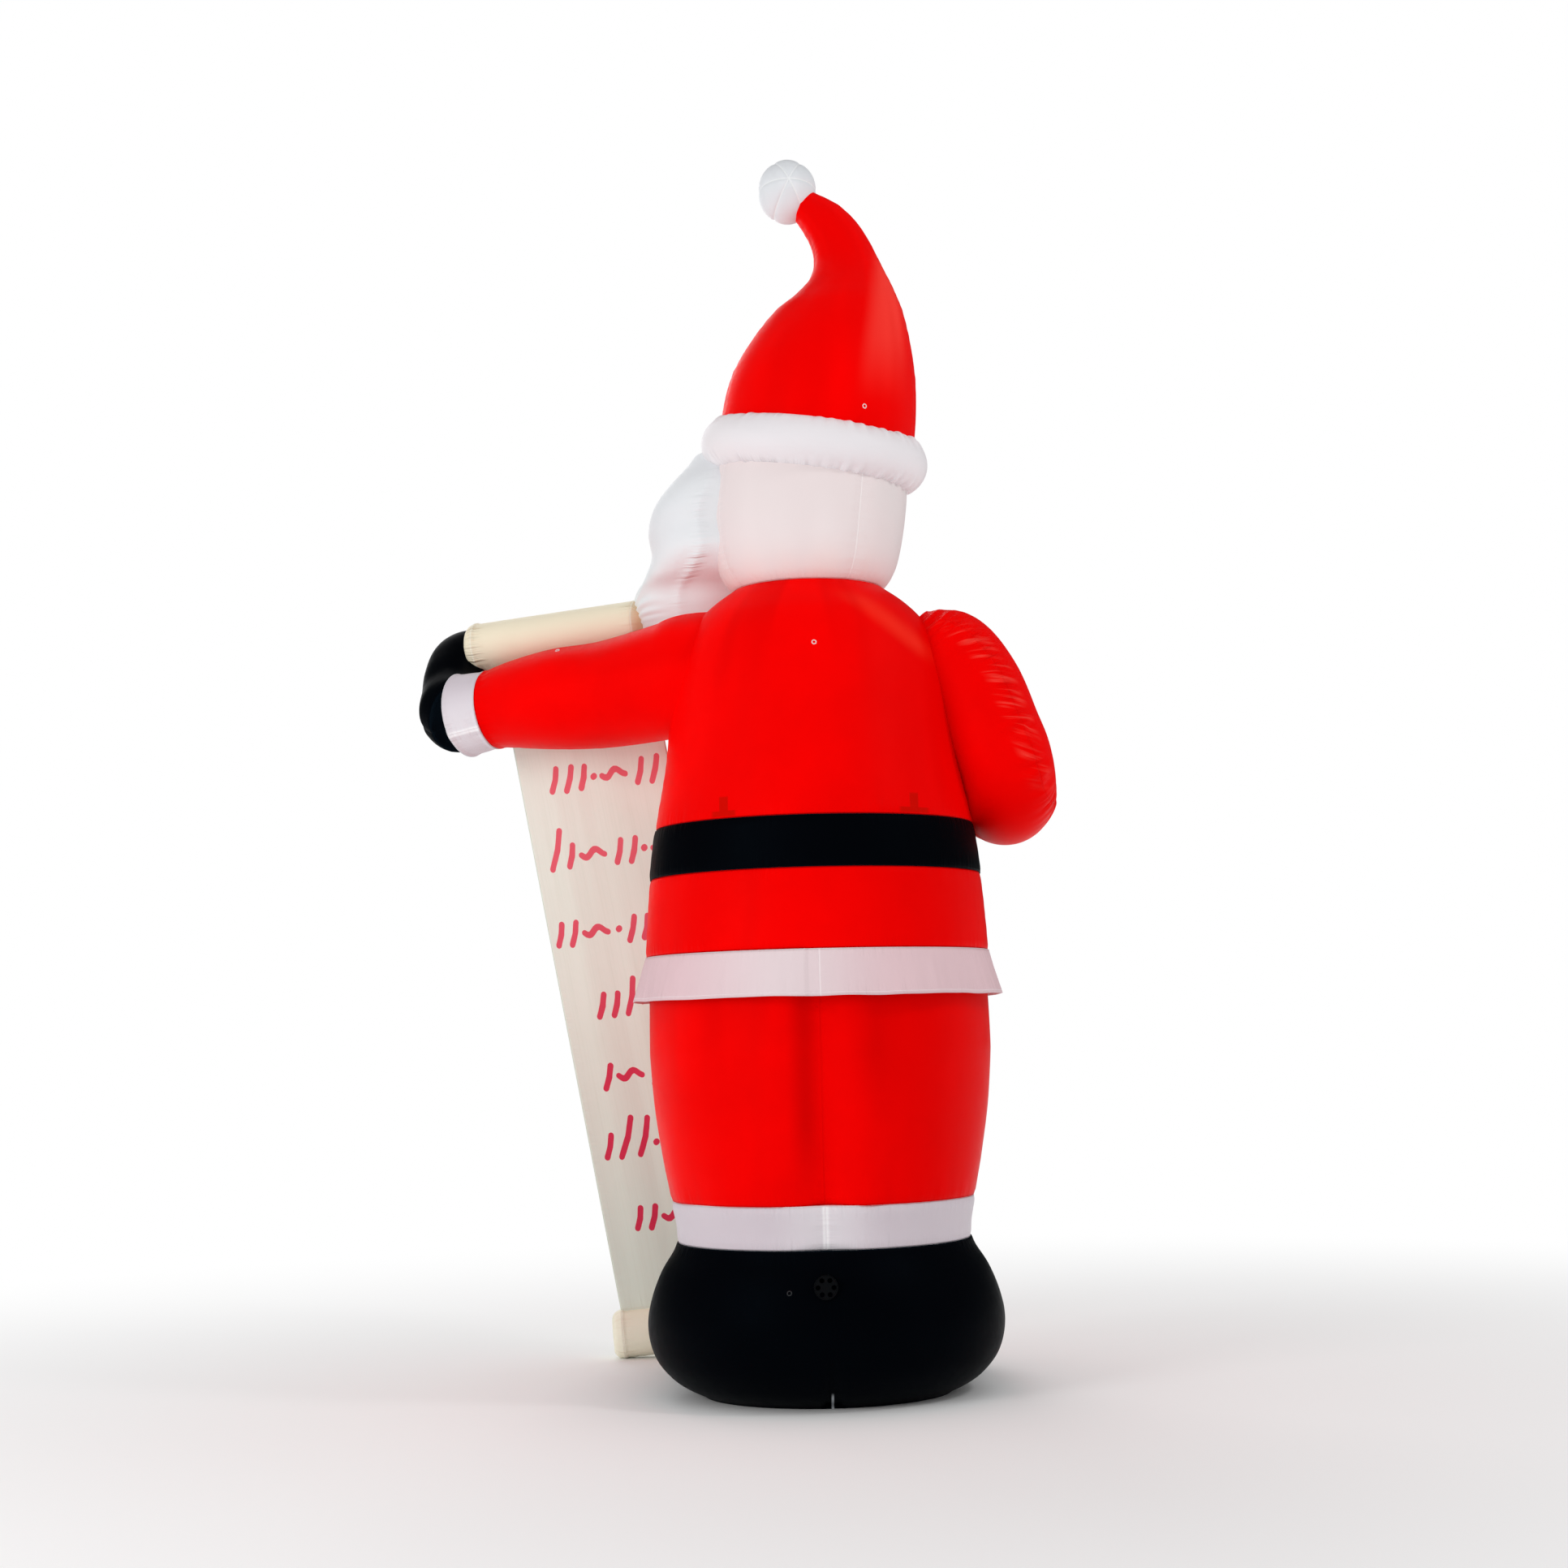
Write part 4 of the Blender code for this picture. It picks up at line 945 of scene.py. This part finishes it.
hat = {
    "rows": 150, "segments": 240, "seamRadius": 0.472, "seamLean": -8.5, "seams": (1.35, -1.35),
    # centre line, radius, and lean towards its left hand in degrees
    "stations": (
        (-0.074, 0.015, 4.720, 0.484, -8), (-0.104, 0.036, 4.930, 0.462, -4), (-0.138, 0.052, 5.110, 0.407, -1),
        (-0.180, 0.060, 5.262, 0.334, 0), (-0.212, 0.060, 5.360, 0.266, 3), (-0.229, 0.059, 5.450, 0.207, 7),
        (-0.229, 0.056, 5.535, 0.168, 11), (-0.211, 0.050, 5.618, 0.147, 17), (-0.176, 0.042, 5.697, 0.132, 28),
        (-0.121, 0.032, 5.775, 0.115, 38), (-0.050, 0.018, 5.842, 0.091, 51), (0.030, 0.000, 5.915, 0.070, 55),
    ),
    "sewing": {
        "tuck": 0.0, "crease": 0.004, "pucker": 0.005, "ringPucker": 0.012, "reach": 0.07, "pitch": 0.036, "seed": 7.0,
    },
}


def hatPoint(angle, share):
    stations = ((*hatSeam, hat["seamRadius"], hat["seamLean"]),) + hat["stations"]
    x, y, z, radius, lean = smoothRows(stations, share)
    back = head["slope"].y * max(0.0, 1 - 5 * share)
    normal = Vector((sin(radians(lean)), back, cos(radians(lean)))).normalized()
    return Vector((x, y, z)) + radius * ringWay(normal, angle)


gores = 6
goreTurn = 2 * pi / gores
pompom = {
    "centre": Vector((0.052, 0.0, 5.9385)), "radii": (0.148, 0.148, 0.1615), "facing": Vector((-0.06, 1.0, 0.12)),
    "dip": 0.035, "dipShape": 0.7, "segments": 144, "rows": 72, "ringSeams": (),
    "seams": [goreTurn / 2 + goreTurn * i for i in range(gores)], "merge": 0.0003,
    "sewing": {"tuck": 0.0, "crease": 0.002, "creaseReach": 0.010, "pucker": 0.002, "reach": 0.02, "pitch": 0.03},
}
pompomTurn = pompom["facing"].normalized().to_track_quat("Z", "Y").to_matrix()


def pompomPoint(angle, share):
    tilt = pi * (1 - share)
    wide = sin(tilt) if sin(tilt) > 1e-6 else 0.0
    out = pompomTurn @ Vector((wide * sin(angle), wide * cos(angle), cos(tilt)))
    swell = abs(cos(angle * gores / 2)) ** pompom["dipShape"]
    size = 1 - pompom["dip"] * (1 - swell) * sin(tilt)
    return pompom["centre"] + Vector([way * radius for way, radius in zip(out, pompom["radii"])]) * size


sewnPiece("head_back", headPoint, head, headCloth, "white_fabric", "head")
sewnPiece("fur_brim", brimPoint, brim, whiteCloth, "white_fabric", "hat_brim")
sewnPiece("hat_bag", hatPoint, hat, hatCloth, "red_fabric", "hat")
sewnPiece("hat_bobble", pompomPoint, pompom, ballCloth, "white_fabric", "pompom")
print("head and hat sewn")

beard = {
    # height, distance in front of the neck, half depth, half width
    "rows": (
        (4.600, 0.300, 0.280, 0.425), (4.550, 0.320, 0.320, 0.455), (4.440, 0.330, 0.410, 0.552),
        (4.340, 0.370, 0.440, 0.605), (4.230, 0.400, 0.450, 0.615), (4.105, 0.390, 0.450, 0.604),
        (4.015, 0.500, 0.450, 0.580), (3.950, 0.650, 0.430, 0.540), (3.860, 0.700, 0.420, 0.520),
        (3.740, 0.700, 0.400, 0.470), (3.600, 0.680, 0.360, 0.400), (3.460, 0.660, 0.290, 0.310),
        (3.360, 0.650, 0.200, 0.210), (3.310, 0.640, 0.100, 0.110),
    ),
    "opening": (4.400, 0.350, 0.270),      # height, half width, half height
    "rimSoftness": 0.30,
    "faceCentre": (0.250, 0.0, 4.370), "faceRadii": (0.500, 0.460, 0.290),
    "nose": (0.790, 0.0, 4.320, 0.090),
    "moustache": (
        (0.800, 0.000, 0.185, 0.070), (0.815, 0.090, 0.205, 0.098), (0.785, 0.190, 0.240, 0.094),
        (0.725, 0.300, 0.255, 0.068), (0.665, 0.380, 0.230, 0.030),
    ),
    "segments": 280, "courses": 130, "seams": (2.1, -2.1), "behindFace": 0.015, "endShrink": 0.5,
    # pleats where the roll's end presses into the cloth
    "pleats": 26, "pleatDepth": 0.006, "pleatRadius": 0.13, "pleatReach": 0.10,
    "sewing": {"tuck": 0.0, "crease": 0.006, "pucker": 0.004},
}


def beardPoint(angle, share):
    height, forward, depth, width = smoothRows(beard["rows"], 1 - share)
    ahead, side = forward + depth * cos(angle), width * sin(angle)
    middle, halfWidth, halfHeight = beard["opening"]
    inside = (side / halfWidth) ** 2 + ((height - middle) / halfHeight) ** 2
    if inside < 1.0 and cos(angle) > 0:
        # inside the opening the cloth lies just behind the face
        centre, radii = beard["faceCentre"], beard["faceRadii"]
        left = 1 - (side / radii[1]) ** 2 - ((height - centre[2]) / radii[2]) ** 2
        floorAhead = min(ahead, centre[0] + radii[0] * sqrt(max(left, 0.02)) - beard["behindFace"])
        t = min((1.0 - inside) / beard["rimSoftness"], 1.0)
        ahead += (floorAhead - ahead) * t * t * (3 - 2 * t)
    return headAxes(ahead, side, height)


def makeBeard():
    spec = beard
    shape, rings = sleeveOf(beardPoint, spec["segments"], spec["courses"])
    facts = addFacts(shape, rings, (), spec["seams"])
    shape.normal_update()
    for vert in facts:
        off = vert.co - scroll["topEnds"][1]
        pleat = sin(atan2(off.z, off.x + off.y) * spec["pleats"])
        near = exp(-(((off.length - spec["pleatRadius"]) / spec["pleatReach"]) ** 2))
        vert.co += vert.normal * spec["pleatDepth"] * pleat * near
    sewn(shape, facts, **spec["sewing"])
    closeEnds(shape, spec["endShrink"])
    return piece("beard_bag", shape, beardCloth, "white_fabric", "beard")


def makeFace():
    shape = bmesh.new()
    bmesh.ops.create_uvsphere(shape, u_segments=128, v_segments=72, radius=1.0)
    for vert in shape.verts:
        spot = [middle + way * radius for middle, way, radius in zip(beard["faceCentre"], vert.co, beard["faceRadii"])]
        vert.co = headAxes(*spot)
    placeFacts(shape)
    return piece("face_bag", shape, skinCloth, "skin_fabric", "face")


def makeNose():
    forward, side, height, radius = beard["nose"]
    shape = bmesh.new()
    ballOf(shape, headAxes(forward, side, height), (radius, radius, radius * 0.92))
    placeFacts(shape)
    return piece("nose_bag", shape, noseCloth, "nose_fabric", "nose")


moustacheSpec = {
    "segments": 72, "rows": 90, "ringSeams": (0.5,), "seams": (pi,),
    "sewing": {"tuck": 0.012, "tuckReach": 0.03, "pucker": 0.006},
}


def makeMoustache():
    # one half and its mirror image, as one tube
    middle = beard["opening"][0]
    whole = [(f, -s, b, r) for f, s, b, r in beard["moustache"][:0:-1]] + list(beard["moustache"])
    stations = [(*headAxes(f, s, middle - b), r) for f, s, b, r in whole]
    return tubePiece(
        "moustache_bag", stations, (0.0, 0.0, 1.0), moustacheSpec, beardCloth, "white_fabric", "moustache"
    )


scroll = {
    "radius": 0.124, "rounding": 0.045, "beardEndRounding": 0.085,
    "width": 0.830, "topMargin": 0.130, "lowMargin": 0.062,
    "topEnds": (Vector((1.770, -0.700, 3.758)), Vector((0.820, -0.420, 3.823))),
    "lowEnds": (Vector((1.128, -1.370, 0.1245)), Vector((0.180, -1.403, 0.197))),
    "columns": 90, "rows": 400, "thickness": 0.0025, "length": 3.45,
    "rollSegments": 160, "rollRows": 120, "capSeam": 0.055, "ground": 0.0005, "endShrink": 0.5,
    "sewing": {
        "tuck": 0.006, "tuckReach": 0.012, "crease": 0.004, "pucker": 0.010, "reach": 0.045, "pitch": 0.028,
        "seed": 3.0,
    },
}
makeBeard()
makeFace()
makeNose()
makeMoustache()
print("beard and face sewn")


def rollPiece(name, ends, rightRounding, node):
    left, right = ends
    length = (right - left).length
    way = (right - left).normalized()
    up = (Vector((0, 0, 1)) - way * way.z).normalized()
    side = way.cross(up)

    def place(angle, share):
        # rows crowd together at the rounded ends
        at = length * (0.5 - 0.5 * cos(pi * share))
        rounding = scroll["rounding"] if share < 0.5 else rightRounding
        fall = max(0.0, 1 - min(at, length - at) / rounding)
        radius = scroll["radius"] - rounding + rounding * sqrt(max(0.0, 1 - fall * fall))
        return left + way * at + (up * cos(angle) + side * sin(angle)) * radius

    shape, rings = sleeveOf(place, scroll["rollSegments"], scroll["rollRows"])
    capShare = acos(1 - 2 * scroll["capSeam"] / length) / pi
    facts = addFacts(shape, rings, (capShare, 1 - capShare), (pi,))
    sewn(shape, facts, **scroll["sewing"])
    for vert in shape.verts:
        vert.co.z = max(vert.co.z, scroll["ground"])      # flat where it lies on the ground
    closeEnds(shape, scroll["endShrink"])
    return piece(name, shape, creamCloth, "cream_fabric", node)

ink = {
    # brush marks in rows: how far down the sheet a row is, where it starts, and its marks from there on
    "width": 0.031, "tall": 0.180, "short": 0.108, "lean": 0.40, "ripple": (0.125, 0.017), "gap": 0.050,
    "blur": (-0.0012, 0.0014),
    "rows": (
        (0.685, 0.170, "sssdrss"),
        (1.060, 0.090, "tsrssdr"),
        (1.440, 0.045, "ssrdsstr"),
        (1.805, 0.190, "sstd"),
        (2.160, 0.150, "srsss"),
        (2.505, 0.085, "sttdrs"),
        (2.880, 0.175, "ssrs"),
    ),
}


def brushLines():
    # each row's marks as short straight runs, in metres across and down the sheet
    found = []
    for number, (down, at, marks) in enumerate(ink["rows"]):
        runs = []
        for place, mark in enumerate(marks):
            wobble = noise.noise(Vector((number * 3.1, place * 1.7, 0.5)))
            if mark == "r":
                # a ripple
                wide, swing = ink["ripple"]
                ts = [i / 12 for i in range(13)]
                spots = [(at + wide * t, down + swing * sin(2 * pi * (1.2 * t + 0.1 * wobble)) - 0.012 * t) for t in ts]
                step = wide + ink["gap"] * 1.2
            elif mark == "d":
                # a dot
                spots = [(at, down + 0.01 * wobble), (at + 0.006, down + 0.01 * wobble - 0.004)]
                step = ink["gap"]
            else:
                # a short or a tall slash, slightly bowed
                high = (ink["tall"] if mark == "t" else ink["short"]) * (1 + 0.14 * wobble)
                lean = ink["lean"] * high * (1 + 0.25 * wobble)
                low = down + ink["short"] / 2 + 0.010 * wobble
                spots = [(at, low), (at + lean * 0.5 + 0.05 * high, low - high * 0.5), (at + lean, low - high)]
                step = lean * 0.55 + ink["gap"] * 1.1
            runs += [(*a, *b) for a, b in zip(spots, spots[1:])]
            at += step
        found.append((down, runs))
    return found


def inkDepth(lines, across, run):
    # how far inside a brush mark a point is; below 0 outside
    nearest = 1.0
    for down, runs in lines:
        if abs(run - down) < 0.16:
            for ax, ay, bx, by in runs:
                dx, dy = bx - ax, by - ay
                t = min(max(((across - ax) * dx + (run - ay) * dy) / (dx * dx + dy * dy), 0.0), 1.0)
                nearest = min(nearest, sqrt((across - ax - dx * t) ** 2 + (run - ay - dy * t) ** 2))
    return ink["width"] / 2 * (1 + 0.10 * noise.noise(Vector((across * 24, run * 24, 1.0)))) - nearest


def makeSheet():
    shape = bmesh.new()
    around, ringSeam, longSeam = clothLayers(shape)
    inkLayer = shape.verts.layers.float.new("ink")
    bmesh.ops.create_grid(shape, x_segments=scroll["columns"], y_segments=scroll["rows"], size=0.5)
    corners = []
    for (left, right), margin in ((scroll["topEnds"], scroll["topMargin"]), (scroll["lowEnds"], scroll["lowMargin"])):
        way = (right - left).normalized()
        corners += [left + way * margin, left + way * (margin + scroll["width"])]
    topLeft, topRight, lowLeft, lowRight = corners
    width, length, rollSeam = scroll["width"], scroll["length"], scroll["radius"]
    lines = brushLines()
    for vert in shape.verts:
        across, down = vert.co.x + 0.5, 0.5 - vert.co.y
        at = topLeft.lerp(topRight, across).lerp(lowLeft.lerp(lowRight, across), down)
        run = down * length
        vert[around] = (0.0, across * width, run)
        vert[inkLayer] = inkDepth(lines, across * width, run)
        vert[ringSeam] = min(abs(run - rollSeam), abs(length - rollSeam - run))
        vert[longSeam] = min(across, 1 - across) * width
        sway = 0.010 * noise.noise(Vector((across * 2.2, down * 3.0, 0.3)))
        curl = 0.006 * noise.noise(Vector((across * 9.0, down * 1.2, 2.3)))
        vert.co = at + Vector((0.1, 1.0, 0.25)) * (sway + curl) * sin(pi * down) ** 0.5
    obj = piece("list_sheet", shape, listCloth, "list_fabric", "scroll_sheet")
    thicken(obj, scroll["thickness"])


def streaks(kit, x, y, z):
    # thin lengthwise streaks of the weave
    _, across, run = kit.split(kit.stored("around", True))
    return kit.patches(kit.point(across * 95.0, run * 1.4, 0.0), 1.0, 2.0, 0.5, 0.42, 0.75) * 0.30


def inked(share):
    # the brush marks, as strong as the share says
    return lambda kit, x, y, z: kit.ease(kit.stored("ink"), *ink["blur"]) * share(kit, x, y, z)


listCloth = fabric(
    "list nylon", (0.87, 0.89, 0.80), (0.83, 0.86, 0.76), (0.72, 0.74, 0.62), rough=0.6, gloss=0.15, puckers=0.3,
    tints=(
        ((0.80, 0.86, 0.76), fade(0.8, z=(2.4, 0.6))),
        ((0.75, 0.79, 0.68), streaks),
        ((0.85, 0.098, 0.150), inked(fade(0.96))),
        ((0.72, 0.030, 0.085), inked(fade(1.0, z=(3.0, 1.2)))),
    ),
)
rollPiece("top_roll", scroll["topEnds"], scroll["beardEndRounding"], "scroll_top_roll")
rollPiece("low_roll", scroll["lowEnds"], scroll["rounding"], "scroll_bottom_roll")
makeSheet()
print("scroll hung")


def hardFinish(name, pale, dark, shine=0.5, grains=400.0, rough=0.35, roughSpread=0.1, depth=0.0002):
    # moulded plastic with a fine grain
    kit = Finish(name, Metallic=0.0, Specular_IOR_Level=shine)
    grain = kit.clouds(kit.point(*kit.place()), grains)
    kit.feed("Base Color", kit.blend(grain, pale, dark))
    kit.feed("Roughness", grain * roughSpread + rough)
    kit.relief(grain * depth)
    return kit


plastic = hardFinish(
    "black plastic", (0.0010, 0.0014, 0.0022), (0.0025, 0.0032, 0.0042), shine=0.06, grains=900.0, roughSpread=0.15,
    depth=0.0003,
)
paleRing = hardFinish("pale ring plastic", (0.85, 0.72, 0.72), (0.78, 0.66, 0.66), rough=0.4)
darkRing = hardFinish("dark ring plastic", (0.018, 0.021, 0.024), (0.012, 0.014, 0.017))
# these small hard parts keep the solids of the frame
for node, finish in (
    ("blower_housing", plastic), ("blower_grille", plastic), ("tether_ring_hat", paleRing),
    ("tether_ring_back", paleRing), ("tether_ring_sleeve", paleRing), ("tether_ring_boots", darkRing),
):
    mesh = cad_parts[node].data
    mesh.materials.clear()
    mesh.materials.append(finish.material)

studio = {
    "floorSize": 120.0, "sky": 0.66, "skyShine": 0.10, "glow": (2.5, 9.0),
    # name, place, aimed at, size, power
    "lamps": (
        ("key", (8.5, 8.0, 4.6), (0.4, 0.0, 2.6), 4.0, 330.0),
        ("rim", (-6.5, 3.6, 8.0), (0.0, 0.0, 4.8), 1.2, 120.0),
        ("front", (3.0, -9.0, 8.0), (0.0, 0.0, 3.0), 6.0, 260.0),
    ),
    "lens": 54.0, "sensor": 36.0, "reach": 300.0, "camera": (0.1413, 11.5107, 1.68096), "pitch": 6.184, "roll": -1.4,
}


def makeStudio():
    shape = bmesh.new()
    bmesh.ops.create_circle(shape, cap_ends=True, segments=96, radius=studio["floorSize"] / 2)
    ground = objectOf("studio_floor", meshOf("studio_floor", shape))
    # the paper is lit by itself far out, so that it meets the white sky without a line
    paper = Finish("studio paper", Metallic=0.0, Roughness=0.9, Specular_IOR_Level=0.0, Emission_Strength=1.0)
    x, y, z = paper.place()
    far = paper.ease(paper.maths("SQRT", x * x + y * y), *studio["glow"])
    paper.feed("Base Color", paper.blend(far, (0.92, 0.92, 0.92), (0.0, 0.0, 0.0)))
    paper.feed("Emission Color", paper.blend(far, (0.0, 0.0, 0.0), (1.0, 1.0, 1.0)))
    ground.data.materials.append(paper.material)

    for name, place, aim, size, power in studio["lamps"]:
        light = bpy.data.lights.new(name, "AREA")
        light.size = size
        light.energy = power
        lamp = objectOf(name, light)
        lamp.location = place
        lamp.rotation_euler = (Vector(place) - Vector(aim)).to_track_quat("Z", "Y").to_euler()

    world = bpy.data.worlds.new("studio")
    world.use_nodes = True
    bpy.context.scene.world = world
    sky = world.node_tree
    sky.nodes.clear()
    # the camera sees white, cloth is lit by a softer sky, and its shine by a dim one
    path, shine, strength, back, out = (
        sky.nodes.new(kind)
        for kind in (
            "ShaderNodeLightPath", "ShaderNodeMapRange", "ShaderNodeMapRange", "ShaderNodeBackground",
            "ShaderNodeOutputWorld",
        )
    )
    shine.inputs["To Min"].default_value = studio["sky"]
    shine.inputs["To Max"].default_value = studio["skyShine"]
    strength.inputs["To Max"].default_value = 1.0
    back.inputs["Color"].default_value = (1, 1, 1, 1)
    for source, target in (
        (path.outputs["Is Glossy Ray"], shine.inputs["Value"]),
        (shine.outputs[0], strength.inputs["To Min"]),
        (path.outputs["Is Camera Ray"], strength.inputs["Value"]),
        (strength.outputs[0], back.inputs["Strength"]),
        (back.outputs[0], out.inputs["Surface"]),
    ):
        sky.links.new(source, target)
    bpy.context.scene.view_settings.view_transform = "Standard"

    lens = bpy.data.cameras.new("camera")
    lens.lens = studio["lens"]
    lens.sensor_width = studio["sensor"]
    lens.clip_end = studio["reach"]
    camera = objectOf("camera", lens)
    camera.matrix_world = (
        Matrix.Translation(studio["camera"])
        @ Matrix.Rotation(pi, 4, "Z")
        @ Matrix.Rotation(pi / 2 + radians(studio["pitch"]), 4, "X")
        @ Matrix.Rotation(radians(studio["roll"]), 4, "Z")
    )
    bpy.context.scene.camera = camera


makeStudio()
print("studio set")
